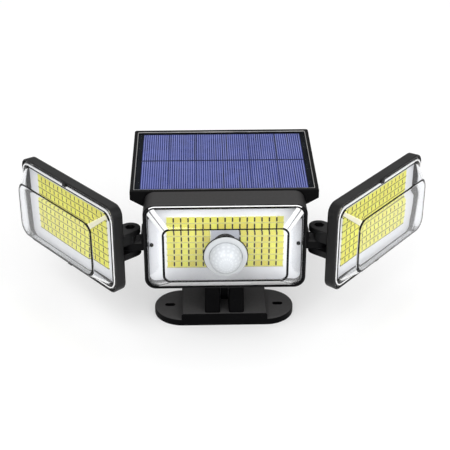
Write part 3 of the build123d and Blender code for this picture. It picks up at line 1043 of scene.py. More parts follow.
@dataclass(frozen=True)
class Metal:
    """Plated or bare metal with fine brushing and dull spots."""

    name: str
    bright: Colour
    dull: Colour
    roughness: Pair = (0.22, 0.45)
    brushing: Triple = (300.0, 300.0, 3000.0)
    spots: float = 240.0
    depth: float = 0.01 * MM
    relief: float = 0.4

    def material(self) -> bpy.types.Material:
        """Build the material.

        Returns:
            The material.
        """
        material, graph, shader = new_material(self.name)
        where = graph.local()
        brushed = graph.noise(graph.vector("MULTIPLY", where, self.brushing), 1.0, detail=3.0)
        spots = graph.effect(Effects.moulded_grain(), vector=where, patches=self.spots)
        graph.feed_all(
            shader,
            Base_Color=graph.mix(spots.outputs["Patch"], self.bright, self.dull),
            Metallic=1.0,
            Roughness=graph.remap(brushed, 0.3, 0.7, *self.roughness),
            Normal=graph.bump(brushed, self.depth, self.relief),
        )
        return material


# The upward pale film of these black plastics paints the sheen of top light as well as dust: most on the
# lamp and base tops, none on the heads.
BLACK_PLASTIC = SatinPlastic(
    "lamp_housing_plastic", srgb(6, 6, 7), srgb(11, 11, 12), srgb(96, 95, 95), dust=0.46
)
TRAY_PLASTIC = replace(BLACK_PLASTIC, name="rear_housing_plastic", specular=0.05, dust=0.03)
HEAD_PLASTIC = replace(BLACK_PLASTIC, name="head_housing_plastic", specular=0.3, dust=0.0)
BASE_PLASTIC = replace(
    BLACK_PLASTIC, name="wall_base_plastic", worn=srgb(112, 111, 111), specular=0.03, dust=0.5
)
# Dark finish on the clear lens: painted shade for the dark refraction lines at its edges and inside its
# ridges; it also covers the lip's lower runs and the tabs.
LENS_DARK_AND_SHADE = SatinPlastic(
    "lens_dark_and_painted_shade", srgb(7, 7, 8), srgb(14, 14, 15), srgb(60, 60, 62), (0.2, 0.35), 0.15, dust=0.0
)
INNER_PLASTIC = SatinPlastic(
    "inner_plastic", srgb(40, 40, 42), srgb(52, 52, 54), srgb(92, 92, 94), specular=0.3
)
SENSOR_BLACK = SatinPlastic(
    "sensor_holder_plastic", srgb(18, 18, 20), srgb(26, 26, 28), srgb(60, 60, 62), dust=0.0
)
WASHER_NYLON = SatinPlastic(
    "washer_nylon", srgb(44, 44, 46), srgb(58, 58, 60), srgb(96, 96, 96), specular=0.3, dust=0.0
)
SEAL_RUBBER = SatinPlastic(
    "seal_rubber", srgb(22, 22, 22), srgb(34, 34, 34), srgb(70, 70, 70), (0.6, 0.8), dust=0.0
)
BUTTON_RUBBER = SatinPlastic(
    "button_rubber", srgb(58, 58, 60), srgb(74, 74, 76), srgb(110, 110, 110), (0.6, 0.8)
)
COMPONENT_PLASTIC = SatinPlastic(
    "component_plastic", srgb(20, 20, 22), srgb(38, 38, 40), srgb(90, 90, 90), specular=0.4
)
CIRCUIT_MASK = SatinPlastic(
    "solder_mask", srgb(18, 84, 44), srgb(30, 110, 60), srgb(120, 150, 120), (0.25, 0.4), 0.4
)
CELL_WRAP = SatinPlastic(
    "battery_wrap", srgb(36, 84, 150), srgb(48, 104, 176), srgb(150, 170, 200), (0.2, 0.35), 0.5
)
BACKSHEET = SatinPlastic(
    "panel_backsheet", srgb(18, 20, 23), srgb(25, 27, 31), srgb(60, 62, 70), (0.4, 0.55), 0.01, dust=0.0
)
# Pale grey bead round the panel cover: sealant, and painted highlight along the rim.
BEAD_SEALANT_AND_HIGHLIGHT = SatinPlastic(
    "panel_bead_and_highlight", srgb(128, 128, 128), srgb(164, 163, 161), srgb(190, 190, 190), (0.3, 0.5), 0.4
)
BLACK_SCREW = SatinPlastic(
    "black_oxide", srgb(16, 16, 18), srgb(30, 30, 32), srgb(80, 80, 84), (0.3, 0.45), 0.4, dust=0.0
)
# Dark ticks between the columns of chips.
DARK_PAD = SatinPlastic(
    "dark_pad",
    srgb(8, 7, 4),
    srgb(40, 34, 10),
    srgb(110, 100, 50),
    (0.4, 0.6),
    0.1,
    patches=240.0,
    dust=0.0,
)
# Strips between the rows of chips: painted shade of the gaps, pale on the main field and olive on the
# heads.
ROW_SHADE = replace(
    DARK_PAD,
    name="row_shade",
    dark=srgb(194, 189, 114),
    light=srgb(218, 213, 144),
    worn=srgb(220, 216, 150),
)
HEAD_ROW_SHADE = replace(
    ROW_SHADE, name="head_row_shade", dark=srgb(104, 98, 26), light=srgb(152, 146, 52)
)
LENS_CLEAR = ClearPlastic("lens_plastic", (0.96, 0.975, 1.0, 1.0))
PANEL_SHEET = ClearPlastic("panel_cover_sheet", (0.94, 0.96, 1.0, 1.0), (0.0, 0.01), 1.01, 0.02)
BOARD_WHITE = Enamel("board_mask", srgb(250, 251, 254), srgb(234, 236, 242))
# Pale finish on the lenses' lip: painted highlight, on the main lens only along its upper run.
LIP_HIGHLIGHT = Enamel("lens_lip_painted_highlight", srgb(252, 252, 252), srgb(238, 239, 241), (0.2, 0.35))
# Pale streaks on the lenses' upper corners and the main lens's lower wall: painted highlight and painted
# reflection.
RIDGE_HIGHLIGHT = Enamel(
    "lens_ridge_painted_highlight", srgb(255, 255, 255), srgb(246, 247, 248), (0.2, 0.35), alpha=0.85
)
RIDGE_WARM_HIGHLIGHT = Enamel(
    "lens_ridge_painted_warm_highlight", srgb(255, 252, 226), srgb(250, 246, 214), (0.2, 0.35), alpha=0.6
)
# Grey sheet on the board behind the sensor: painted shadow.
SENSOR_SHADOW_GREY = Enamel("sensor_pad_film", srgb(196, 199, 210), srgb(184, 188, 200))
CHIP_PACKAGE = Enamel("chip_package", srgb(244, 242, 140), srgb(228, 224, 112))
COLLAR_WHITE = Enamel("collar_plastic", srgb(196, 199, 201), srgb(180, 183, 186))
# Darker moat round the dome in the collar: painted shade.
COLLAR_MOAT_SHADE = Enamel("collar_moat_painted_shade", srgb(104, 107, 110), srgb(84, 87, 90))
DOME_WHITE = Enamel("dome_plastic", srgb(215, 219, 222), srgb(199, 203, 207), (0.12, 0.24), 300.0)
# Darker grooves between the dome's facets: painted shade.
DOME_GROOVE_SHADE = Enamel("dome_groove_painted_shade", srgb(204, 208, 212), srgb(189, 193, 198), (0.15, 0.3), 300.0)
CELL_SEAM = Enamel("cell_seam", srgb(16, 19, 44), srgb(26, 30, 62), (0.4, 0.6), specular=0.1)
FINGER_SILVER = Enamel(
    "finger_silver", srgb(130, 137, 188), srgb(104, 112, 166), (0.4, 0.6), specular=0.15
)
SILICON = CellSilicon("cell_silicon", srgb(30, 38, 98), srgb(46, 56, 122), srgb(8, 12, 46))
ZINC_STEEL = Metal("zinc_steel", srgb(200, 200, 204), srgb(168, 168, 172))


def dress(material: bpy.types.Material, *names: str) -> None:
    """Give CAD nodes a finish.

    Args:
        material: The finish.
        names: The nodes.
    """
    for name in names:
        node = frame["nodes"][name]
        node.data.materials.clear()
        node.data.materials.append(material)
        LOG.info("dressed %s in %s", name, material.name)


def fit_out(
    piece: bpy.types.Object, place: Place, body: Body, replaced: str | None = None
) -> None:
    """Move a finished piece into the part's frame and tie it to its body.

    Args:
        piece: The finished piece, in its local frame.
        place: Its local frame.
        body: The body that it moves with.
        replaced: The CAD node that it stands for, if it does.
    """
    Bench.settle(piece, place)
    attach(piece, body.value)
    if replaced:
        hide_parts(replaced)
    LOG.info("built %s: %d faces on %s", piece.name, len(piece.data.polygons), body.value)


def within(value: float, span: Pair) -> bool:
    """Tell whether a value lies between the ends of a span."""
    return span[0] < value < span[1]


@dataclass(frozen=True)
class Ridge:
    """Painted highlight streak in an upper corner of a lens: its side, and the angles of the walls it
    takes in.
    """

    side: Side
    low: float
    high: float

    def holds(self, middle: Vector, angle: float) -> bool:
        """Tell whether a face with this middle and this angle of its wall lies on the ridge."""
        return middle.x * self.side.value > 0 and self.low < angle < self.high


@dataclass
class LensCover:
    """Clear cover with sloped walls and a flat pane, built in its lamp's local frame.

    Its bands are spans of the y of a face's normal. Those of the pane's edge and the foot are painted as
    dark lines, painted shade of the refraction there, and that of the walls takes in the ridges, painted
    as pale highlights.
    """

    name: str
    width: float
    height: float
    inset_x: float
    inset_z: float
    rise: float
    pane_corner: float
    hole_radius: float = 0.0
    flange_x: float = 0.0
    flange_z: float = 0.0
    ridges: tuple[Ridge, ...] = ()
    # Finish of the painted highlight on the ridges, and whether the lower wall takes it as painted
    # reflection.
    ridge_finish: Enamel = RIDGE_HIGHLIGHT
    hazy_floor: bool = False
    # Height above which the lip takes the painted highlight.
    lip_pale_above: float = -1.0
    corner: float = 7.0 * MM
    wall: float = 1.8 * MM
    skirt: float = 1.55 * MM
    edge: float = 1.1 * MM
    lip_out: float = 1.7 * MM
    lip_band: float = 0.8 * MM
    lip_height: float = 0.6 * MM
    tab: Vector = field(default_factory=lambda: Vector((5.0, 1.6, 2.0)) * MM)
    tab_back: float = 0.8 * MM
    tab_past: float = 1.0 * MM
    tab_edge: float = 0.25 * MM
    corner_steps: int = 10
    hole_steps: int = 48
    crease: float = 30.0
    pane_band: Pair = (-0.975, -0.78)
    low_pane_band: Pair = (-0.996, -0.9)
    wall_band: Pair = (-0.78, -0.5)
    foot_band: Pair = (-0.5, -0.2)
    level: float = 0.02

    def build(self, place: Place, body: Body) -> None:
        """Model the cover, dress it and tie it to its body.

        Args:
            place: The lamp's local frame.
            body: The lamp's body.
        """
        # The dark finish paints the shade of the lens's edges and ridges, and also covers the lip's lower
        # runs and the tabs.
        edge = LENS_DARK_AND_SHADE.material()
        lens = self.shell()
        Bench.load_finishes(lens, LENS_CLEAR.material(), edge, self.ridge_finish.material())
        self.tint_faces(lens)
        self.thicken(lens)
        if self.hole_radius:
            self.cut_hole(lens)
        tabs = [self.tab_block(1), self.tab_block(-1)]
        for tab in tabs:
            Bench.load_finishes(tab, edge)
        lip = self.lip()
        Bench.load_finishes(lip, edge, LIP_HIGHLIGHT.material())
        self.tint_lip(lip)
        lens = Bench.join([lens, lip, *tabs])
        Bench.smooth(lens, self.crease)
        fit_out(lens, place, body, self.name)

    def shell(self) -> bpy.types.Object:
        """Bridge the base outline to the pane, spread the flange, drop the skirt and round the edges.

        Returns:
            The shell, still without thickness, in the local frame.
        """
        base = Bench.rounded_sheet(
            f"{self.name}_cover", self.width, self.height, self.corner, 0.0, self.corner_steps
        )
        pane = Bench.rounded_sheet(
            f"{self.name}_pane",
            self.width - 2 * self.inset_x,
            self.height - 2 * self.inset_z,
            self.pane_corner,
            -self.rise,
            self.corner_steps,
        )
        lens = Bench.join([base, pane])
        with Bench.editing(lens, Pick.EDGES):
            bpy.ops.mesh.select_all(action="SELECT")
            bpy.ops.mesh.delete(type="ONLY_FACE")
            bpy.ops.mesh.select_all(action="SELECT")
            bpy.ops.mesh.bridge_edge_loops()
            Bench.pick_edges(lens, self.on_pane)
            bpy.ops.mesh.edge_face_add()
            Bench.pick_edges(lens, lambda first, second: abs(first.y) + abs(second.y) < TOUCH)
            if self.flange_z:
                bpy.ops.mesh.extrude_edges_move()
                bpy.ops.transform.resize(
                    value=(1 + 2 * self.flange_x / self.width, 1, 1 + 2 * self.flange_z / self.height),
                    center_override=(0, 0, 0),
                )
            bpy.ops.mesh.extrude_edges_move(TRANSFORM_OT_translate={"value": (0, self.skirt, 0)})
        Bench.face_outwards(lens)
        Bench.soften(lens, self.on_pane, self.edge, segments=4)
        if self.flange_z:
            Bench.soften(lens, self.on_flange, self.edge, segments=3)
        Bench.soften(lens, self.on_foot, self.edge, segments=3)
        return lens

    def thicken(self, lens: bpy.types.Object) -> None:
        """Give the shell its wall, with the inner face of each ridge in the dark finish, which is painted
        shade there.

        Args:
            lens: The shell.
        """
        Bench.modify(
            lens,
            "SOLIDIFY",
            thickness=self.wall,
            offset=-1.0,
            use_even_offset=True,
            material_offset=-1,
        )

    def on_pane(self, first: Vector, second: Vector) -> bool:
        """Tell from its two ends whether an edge lies round the pane."""
        return max(first.y, second.y) < -FACING * self.rise

    def past_foot(self, point: Vector) -> bool:
        """Tell whether a point lies past the foot of the walls."""
        return max(abs(point.x) - self.width / 2, abs(point.z) - self.height / 2) > 10 * TOUCH

    def on_foot(self, first: Vector, second: Vector) -> bool:
        """Tell from its two ends whether an edge lies along the foot of the walls."""
        return all(abs(end.y) < TOUCH and not self.past_foot(end) for end in (first, second))

    def on_flange(self, first: Vector, second: Vector) -> bool:
        """Tell from its two ends whether an edge lies along the rim of the flange."""
        return all(abs(end.y) < TOUCH and self.past_foot(end) for end in (first, second))

    def on_dark_line(self, _: Vector, normal: Vector) -> bool:
        """Tell whether a face belongs to an edge that turns light away.

        Args:
            _: The face's middle, which doesn't count.
            normal: The face's normal.

        Returns:
            True for the edges of the pane and of the foot.
        """
        pane = within(normal.y, self.pane_band)
        low_pane = within(normal.y, self.low_pane_band) and normal.z < self.level
        return pane or low_pane or within(normal.y, self.foot_band)

    def on_ridge(self, middle: Vector, normal: Vector) -> bool:
        """Tell whether a face lies on a painted highlight ridge of an upper corner or on the lower wall
        with its painted reflection.

        Args:
            middle: The face's middle.
            normal: The face's normal.

        Returns:
            True for the sloped faces between the angles of a ridge, and for the lower wall when it takes
            the painted reflection.
        """
        if not within(normal.y, self.wall_band):
            return False
        if middle.z < 0:
            return self.hazy_floor and abs(normal.x) < self.level / 2
        angle = math.degrees(math.atan2(normal.z, abs(normal.x)))
        return any(ridge.holds(middle, angle) for ridge in self.ridges)

    def tint_faces(self, lens: bpy.types.Object) -> None:
        """Give the edges their dark finish, painted shade, and the ridges their pale one, painted
        highlight.

        Args:
            lens: The shell.
        """
        with Bench.editing(lens):
            for index, test in ((1, self.on_dark_line), (2, self.on_ridge)):
                Bench.pick_faces(lens, test)
                Bench.dress_selection(lens, index)

    def lip(self) -> bpy.types.Object:
        """Model the thin raised lip that runs round the foot of the cover.

        Returns:
            The lip, in the local frame.
        """
        return Bench.band(
            f"{self.name}_lip",
            self.width + 2 * self.lip_out,
            self.height + 2 * self.lip_out,
            self.corner + self.lip_out,
            self.lip_band,
            self.lip_height,
        )

    def tint_lip(self, lip: bpy.types.Object) -> None:
        """Give the runs of the lip that catch the light their pale finish, a painted highlight.

        Args:
            lip: The lip.
        """
        with Bench.editing(lip):
            Bench.pick_faces(lip, lambda middle, _: middle.z > self.lip_pale_above)
            Bench.dress_selection(lip, 1)

    def cut_hole(self, lens: bpy.types.Object) -> None:
        """Cut the sensor's hole through the pane.

        Args:
            lens: The cover.
        """
        cutter = Bench.disc(
            "hole_cutter", self.hole_radius, 4 * self.wall, -self.rise - self.wall, self.hole_steps
        )
        Bench.modify(lens, "BOOLEAN", object=cutter, operation="DIFFERENCE", solver="EXACT")
        bpy.data.objects.remove(cutter)

    def tab_block(self, way: int) -> bpy.types.Object:
        """Model a small latch tab across the rim.

        Args:
            way: 1 for the top of the cover, -1 for its bottom.

        Returns:
            The tab, in the local frame.
        """
        back = self.skirt / 2 + self.tab_back
        reach = self.height / 2 + self.flange_z + self.tab_past
        centre = Vector((0, back - self.tab.y / 2, way * (reach - self.tab.z / 2)))
        tab = Bench.slab(f"{self.name}_tab", self.tab, centre)
        Bench.soften(tab, lambda *_: True, self.tab_edge, segments=2)
        return tab


@dataclass
class LedField:
    """Rows of LED chips with dark pads between the columns and strips between the rows, on one board."""

    name: str
    lift: float = 0.0
    free_columns: int = 0
    free_rows: int = 0
    columns: int = 16
    rows: int = 8
    pitch: Pair = (5.63 * MM, 5.4 * MM)
    gap: Pair = (0.7 * MM, 0.6 * MM)
    thickness: float = 0.7 * MM
    setback: float = 6.2 * MM
    rim: float = 0.32 * MM
    well: float = 0.12 * MM
    lemon: Colour = srgb(246, 246, 88)
    amber: Colour = srgb(238, 228, 84)
    pad_share: Pair = (1.7, 0.72)
    pad_proud: float = 0.1
    pad_edge: float = 0.08 * MM
    strip_share: float = 1.5
    strip_proud: float = 0.05
    strip_edge: float = 0.1 * MM
    row_finish: SatinPlastic = ROW_SHADE

    @property
    def chip(self) -> Vector:
        """Lengths of one chip along x, y and z."""
        return Vector((self.pitch[0] - self.gap[0], self.thickness, self.pitch[1] - self.gap[1]))

    @property
    def first(self) -> Vector:
        """Middle of the lower left chip.

        Returns:
            The point, in the local frame.
        """
        across = -(self.columns - 1) / 2 * self.pitch[0]
        up = -(self.rows - 1) / 2 * self.pitch[1] + self.lift
        return Vector((across, self.setback - self.chip.y / 2, up))

    def build(self, place: Place, body: Body) -> None:
        """Model the chips, pads, strips and the sheet of painted shadow, dress them and tie them to their
        body.

        Args:
            place: The lamp's local frame.
            body: The lamp's body.
        """
        phosphor = Phosphor(f"{self.name}_phosphor", self.lemon, self.amber, self.pitch)
        chips = self.chips()
        Bench.load_finishes(chips, CHIP_PACKAGE.material(), phosphor.material(place, self.lift))
        fit_out(chips, place, body, f"{self.name}_leds")
        strips = self.row_strips()
        between = [(self.pads(), DARK_PAD, Slot.LED_CHIP), (strips, self.row_finish, Slot.LED_CHIP)]
        if self.free_rows:
            # The free block gets a grey sheet of painted shadow.
            between.append((self.free_film(), SENSOR_SHADOW_GREY, Slot.WHITE_BOARD))
        for piece, finish, slot in between:
            Bench.load_finishes(piece, finish.material())
            fit_out(piece, place, body)

    def spread(self, piece: bpy.types.Object, columns: int) -> None:
        """Repeat a piece over the field and take it out of the free block.

        Args:
            piece: The piece, at the lower left.
            columns: How many there are in a row.
        """
        Bench.repeat(piece, columns, Vector((self.pitch[0], 0, 0)))
        Bench.repeat(piece, self.rows, Vector((0, 0, self.pitch[1])))
        half = self.free_columns / 2 * self.pitch[0]
        top = self.first.z + (self.free_rows - 0.5) * self.pitch[1]
        with Bench.editing(piece):
            Bench.pick_faces(piece, lambda middle, _: abs(middle.x) < half and middle.z < top)
            bpy.ops.mesh.delete(type="FACE")

    def filled(self, face: bpy.types.MeshPolygon) -> bool:
        """Tell whether a face of the first chip shows phosphor.

        Args:
            face: The face.

        Returns:
            True for the well in the chip's front and for the rim above and below it.
        """
        small = face.area < FACING * self.chip.x * self.chip.z
        central = abs(face.center.x - self.first.x) < self.rim
        return face.normal.y < -FACING and small and central

    def chips(self) -> bpy.types.Object:
        """Model one chip with a filled well in its front and spread it over the field.

        Returns:
            All chips as one piece, in the local frame.
        """
        chip = Bench.slab(f"{self.name}_chips", self.chip, self.first)
        with Bench.editing(chip):
            Bench.pick_faces(chip, lambda _, normal: normal.y < -FACING)
            bpy.ops.mesh.inset(thickness=self.rim)
            Bench.push(self.well)
        finishes = [int(self.filled(face)) for face in chip.data.polygons]
        chip.data.polygons.foreach_set("material_index", finishes)
        self.spread(chip, self.columns)
        return chip

    def pads(self) -> bpy.types.Object:
        """Model one dark pad and spread it over the gaps between the columns.

        Returns:
            All pads as one piece, in the local frame.
        """
        across, up = self.pad_share
        thickness = (1 + 2 * self.pad_proud) * self.thickness
        size = Vector((across * self.gap[0], thickness, up * self.chip.z))
        start = self.first + Vector((self.pitch[0] / 2, -self.pad_proud * self.thickness, 0))
        pad = Bench.slab(f"{self.name}_pads", size, start)
        Bench.soften(pad, lambda *_: True, self.pad_edge)
        self.spread(pad, self.columns - 1)
        return pad

    def row_strips(self) -> bpy.types.Object:
        """Model the strip under one chip's lower edge, painted shade of the gap between the rows, and
        spread it over the field.

        Returns:
            All strips as one piece, in the local frame.
        """
        thickness = (1 + 2 * self.strip_proud) * self.thickness
        size = Vector((self.pitch[0], thickness, self.strip_share * self.gap[1]))
        start = self.first + Vector((0, -self.strip_proud * self.thickness, -self.pitch[1] / 2))
        strip = Bench.slab(f"{self.name}_row_strips", size, start)
        Bench.soften(
            strip,
            lambda first, second: max(first.y, second.y) < start.y and first.z == second.z,
            self.strip_edge,
        )
        self.spread(strip, self.columns)
        return strip

    def free_film(self) -> bpy.types.Object:
        """Model the thin grey sheet that lies on the board in the free block, a painted shadow of the
        sensor.

        Returns:
            The sheet, in the local frame.
        """
        width = self.free_columns * self.pitch[0] - self.gap[0]
        height = self.free_rows * self.pitch[1] - self.gap[1]
        middle = self.first.z + (self.free_rows - 1) / 2 * self.pitch[1]
        shadow_sheet = Bench.rounded_sheet(f"{self.name}_film", width, height, self.rim, self.setback, 3)
        with Bench.editing(shadow_sheet):
            bpy.ops.mesh.select_all(action="SELECT")
            Bench.push(-self.well)
            bpy.ops.mesh.select_all(action="SELECT")
            bpy.ops.transform.translate(value=(0, 0, middle))
        Bench.face_outwards(shadow_sheet)
        return shadow_sheet


@dataclass
class SensorDome:
    """White faceted dome of the motion sensor, the collar round it and the dark seal at the collar's
    foot, which also paints the collar's contact shadow.
    """

    radius: float = 12.6 * MM
    collar_radius: float = 16.5 * MM
    collar_thickness: float = 2.0 * MM
    collar_edge: float = 0.8 * MM
    moat_start: float = 0.6 * MM
    moat_step: float = 0.5 * MM
    moat_depth: float = 1.0 * MM
    pane: float = 13.4 * MM
    segments: int = 18
    rings: int = 12
    round_steps: int = 72
    groove: float = 0.2 * MM
    swell: float = 0.12 * MM
    seal: float = 0.6 * MM
    seal_steps: int = 8
    crease: float = 40.0

    @property
    def front(self) -> float:
        """The y of the collar's front face."""
        return -self.pane - self.collar_thickness

    def build(self, place: Place) -> None:
        """Model the dome, the collar and its seal, dress them and tie them to the lamp.

        Args:
            place: The lamp's local frame.
        """
        fit_out(self.dome(), place, Body.LAMP, "sensor_dome")
        fit_out(self.collar(), place, Body.LAMP, "sensor_collar")
        # The dark seal ring also paints the collar's contact shadow.
        fit_out(self.gasket(), place, Body.LAMP)

    def on_front(self, first: Vector, second: Vector) -> bool:
        """Tell from its two ends whether an edge lies in the plane of the collar's front."""
        return all(abs(end.y - self.front) < TOUCH for end in (first, second))

    def dome(self) -> bpy.types.Object:
        """Halve a ball, swell each of its facets and close the rim with a short sleeve.

        Returns:
            The dome, dressed, in the local frame.
        """
        Bench.clear()
        bpy.ops.mesh.primitive_uv_sphere_add(
            segments=self.segments,
            ring_count=self.rings,
            radius=self.radius,
            location=(0, self.front, 0),
            rotation=(math.pi / 2, 0, 0),
        )
        dome = Bench.named("sensor_dome_shell")
        Bench.load_finishes(dome, DOME_WHITE.material(), DOME_GROOVE_SHADE.material())
        with Bench.editing(dome):
            bpy.ops.mesh.select_all(action="SELECT")
            bpy.ops.mesh.bisect(plane_co=(0, self.front, 0), plane_no=(0, 1, 0), clear_outer=True)
            # The grooves between the facets take the darker finish, painted shade, and the swollen facets
            # the white one.
            bpy.ops.mesh.select_all(action="SELECT")
            Bench.dress_selection(dome, 1)
            bpy.ops.mesh.inset(thickness=self.groove, depth=self.swell, use_individual=True)
            Bench.dress_selection(dome, 0)
        with Bench.editing(dome, Pick.EDGES):
            Bench.pick_edges(dome, self.on_front)
            bpy.ops.mesh.extrude_edges_move(
                TRANSFORM_OT_translate={"value": (0, self.collar_thickness, 0)}
            )
        Bench.modify(dome, "SUBSURF", levels=2, render_levels=2)
        Bench.smooth(dome, self.crease)
        return dome

    def collar(self) -> bpy.types.Object:
        """Model the collar as a disc with a moat round the dome, painted dark as shade, and a round outer
        edge.

        Returns:
            The collar, dressed, in the local frame.
        """
        collar = Bench.disc(
            "sensor_collar_ring",
            self.collar_radius,
            self.collar_thickness,
            self.front,
            self.round_steps,
        )
        Bench.load_finishes(collar, COLLAR_WHITE.material(), COLLAR_MOAT_SHADE.material())
        with Bench.editing(collar):
            Bench.pick_faces(collar, lambda _, normal: normal.y < -FACING)
            bpy.ops.mesh.inset(thickness=self.collar_radius - self.radius - self.moat_start)
            bpy.ops.mesh.inset(thickness=self.moat_step)
            Bench.push(self.moat_depth)
            # The moat takes the darker finish: painted shade in the recess.
            Bench.dress_selection(collar, 1)
        Bench.soften(
            collar,
            lambda first, second: abs(first.xz.length - self.collar_radius) < TOUCH
            and self.on_front(first, second),
            self.collar_edge,
            segments=4,
        )
        Bench.smooth(collar, self.crease)
        return collar

    def gasket(self) -> bpy.types.Object:
        """Model the thin dark seal that shows round the foot of the collar; it also stands in for the
        collar's contact shadow.

        Returns:
            The seal, dressed, in the local frame.
        """
        Bench.clear()
        bpy.ops.mesh.primitive_torus_add(
            major_radius=self.collar_radius,
            minor_radius=self.seal,
            major_segments=self.round_steps,
            minor_segments=self.seal_steps,
            location=(0, -self.pane, 0),
            rotation=(math.pi / 2, 0, 0),
        )
        gasket = Bench.named("sensor_seal_and_shadow_ring")
        Bench.load_finishes(gasket, SEAL_RUBBER.material())
        with Bench.editing(gasket, Pick.CORNERS):
            bpy.ops.mesh.select_all(action="SELECT")
            bpy.ops.mesh.bisect(
                plane_co=(0, -self.pane, 0), plane_no=(0, 1, 0), use_fill=True, clear_outer=True
            )
        Bench.smooth(gasket, self.crease)
        return gasket


@dataclass
class SolarPanel:
    """Cover sheet with its pale bead, sealant that also paints the highlight along the panel's rim, and
    the silver fingers and dark seams of the cells.
    """

    tilt: float = math.radians(5.0)
    line_depth: float = 0.15 * MM
    fingers: int = 74
    finger_width: float = 0.55 * MM
    finger_height: float = 0.06 * MM
    finger_edge: float = 0.4
    row_gap: float = 1.2 * MM
    finger_margin: float = 0.3 * MM
    seam_width: float = 1.6 * MM
    seam_height: float = 0.1 * MM
    seam_edge: float = 0.2
    upright_share: float = 0.3
    cells_per_row: int = 6
    sheet_thickness: float = 1.0 * MM
    sheet_gap: float = 0.12 * MM
    sheet_edge: float = 0.2 * MM
    bead_corner: float = 1.5 * MM
    bead_breadth: float = 0.5 * MM
    bead_height: float = 0.85 * MM

    def place(self, node: str) -> Place:
        """Return the local frame of a flat node's middle, with -y along the panel's normal."""
        low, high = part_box(node)
        return Place((low + high) / 2, tilt=self.tilt - math.pi / 2)

    def size(self, node: str) -> Pair:
        """Measure a flat node.

        Args:
            node: The node.

        Returns:
            Its width and its length along the slope.
        """
        low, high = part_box(node)
        overhang = self.sheet_thickness * math.sin(self.tilt)
        return high.x - low.x, (high.y - low.y - overhang) / math.cos(self.tilt)

    def build(self) -> None:
        """Model the cover sheet, the bead, the fingers and the seams, and dress the panel."""
        cells = self.place("solar_cells")
        cover = self.place("panel_cover")
        dress(BACKSHEET.material(), "panel_backsheet")
        dress(SILICON.material(cells), "solar_cells")
        for piece, finish, place, slot, replaced in (
            (self.finger_lines(), FINGER_SILVER, cells, Slot.SOLAR_CELL, None),
            (self.seams(), CELL_SEAM, cells, Slot.SOLAR_CELL, None),
            (self.cover_sheet(), PANEL_SHEET, cover, Slot.PANEL_COVER, "panel_cover"),
            (self.sealant(), BEAD_SEALANT_AND_HIGHLIGHT, cover, Slot.PANEL_BACK, None),
        ):
            Bench.load_finishes(piece, finish.material())
            fit_out(piece, place, Body.LAMP, replaced)

    def finger_lines(self) -> bpy.types.Object:
        """Model one finger and repeat it over both rows of cells.

        Returns:
            All fingers as one piece, in the panel's frame.
        """
        width, length = self.size("solar_cells")
        row = (length - self.row_gap) / 2
        step = width / self.fingers
        start = Vector((-(self.fingers - 1) / 2 * step, -self.line_depth, -(row + self.row_gap) / 2))
        size = Vector((self.finger_width, self.finger_height, row - 2 * self.finger_margin))
        finger = Bench.slab("cell_fingers", size, start)
        Bench.soften(
            finger,
            lambda first, second: max(first.y, second.y) < start.y and first.x == second.x,
            self.finger_edge * self.finger_height,
        )
        Bench.repeat(finger, self.fingers, Vector((step, 0, 0)))
        Bench.repeat(finger, 2, Vector((0, 0, row + self.row_gap)))
        return finger

    def seams(self) -> bpy.types.Object:
        """Model the dark seams: one between the two rows and thin ones between the cells.

        Returns:
            All seams as one piece, in the panel's frame.
        """
        width, length = self.size("solar_cells")
        step = width / self.cells_per_row
        middle = Bench.slab(
            "cell_seams",
            Vector((width, self.seam_height, self.seam_width)),
            Vector((0, -self.line_depth, 0)),
        )
        upright = Bench.slab(
            "cell_seam_upright",
            Vector(
                (
                    self.upright_share * self.seam_width,
                    self.seam_height,
                    length - 2 * self.finger_margin,
                )
            ),
            Vector((-(self.cells_per_row / 2 - 1) * step, -self.line_depth, 0)),
        )
        Bench.repeat(upright, self.cells_per_row - 1, Vector((step, 0, 0)))
        seams = Bench.join([middle, upright])
        Bench.soften(
            seams,
            lambda first, second: max(first.y, second.y) < -self.line_depth,
            self.seam_edge * self.seam_height,
        )
        return seams

    def cover_sheet(self) -> bpy.types.Object:
        """Model the clear sheet, which clears the cells by a hair, with rounded upper edges.

        Returns:
            The sheet, in its own frame.
        """
        width, length = self.size("panel_cover")
        size = Vector((width, self.sheet_thickness - self.sheet_gap, length))
        sheet = Bench.slab("panel_sheet", size, Vector((0, -self.sheet_gap / 2, 0)))
        Bench.soften(sheet, lambda first, second: max(first.y, second.y) < 0, self.sheet_edge, segments=2)
        return sheet

    def sealant(self) -> bpy.types.Object:
        """Model the pale bead along the edge of the cover sheet: sealant, and painted highlight of the
        rim.

        Returns:
            The bead, in the sheet's frame.
        """
        width, length = self.size("panel_cover")
        return Bench.band(
            "panel_bead_and_highlight", width, length, self.bead_corner, self.bead_breadth, self.bead_height
        )


def main_lens() -> LensCover:
    """Size the main lamp's lens.

    Returns:
        The lens, with a hole for the sensor and two ridges in each upper corner.
    """
    return LensCover(
        "main_lens",
        width=120.0 * MM,
        height=68.0 * MM,
        inset_x=12.8 * MM,
        inset_z=11.3 * MM,
        rise=13.4 * MM,
        pane_corner=6.0 * MM,
        hole_radius=7.9 * MM,
        ridges=tuple(Ridge(side, *angles) for side in Side for angles in ((58, 80), (16, 42))),
        hazy_floor=True,
        lip_pale_above=34.0 * MM,
    )


def main_leds() -> LedField:
    """Size the main lamp's LED field.

    Returns:
        The field, with a free block behind the sensor.
    """
    return LedField(
        "main",
        lift=1.8 * MM,
        free_columns=4,
        free_rows=6,
        lemon=srgb(232, 233, 98),
        amber=srgb(220, 205, 84),
    )


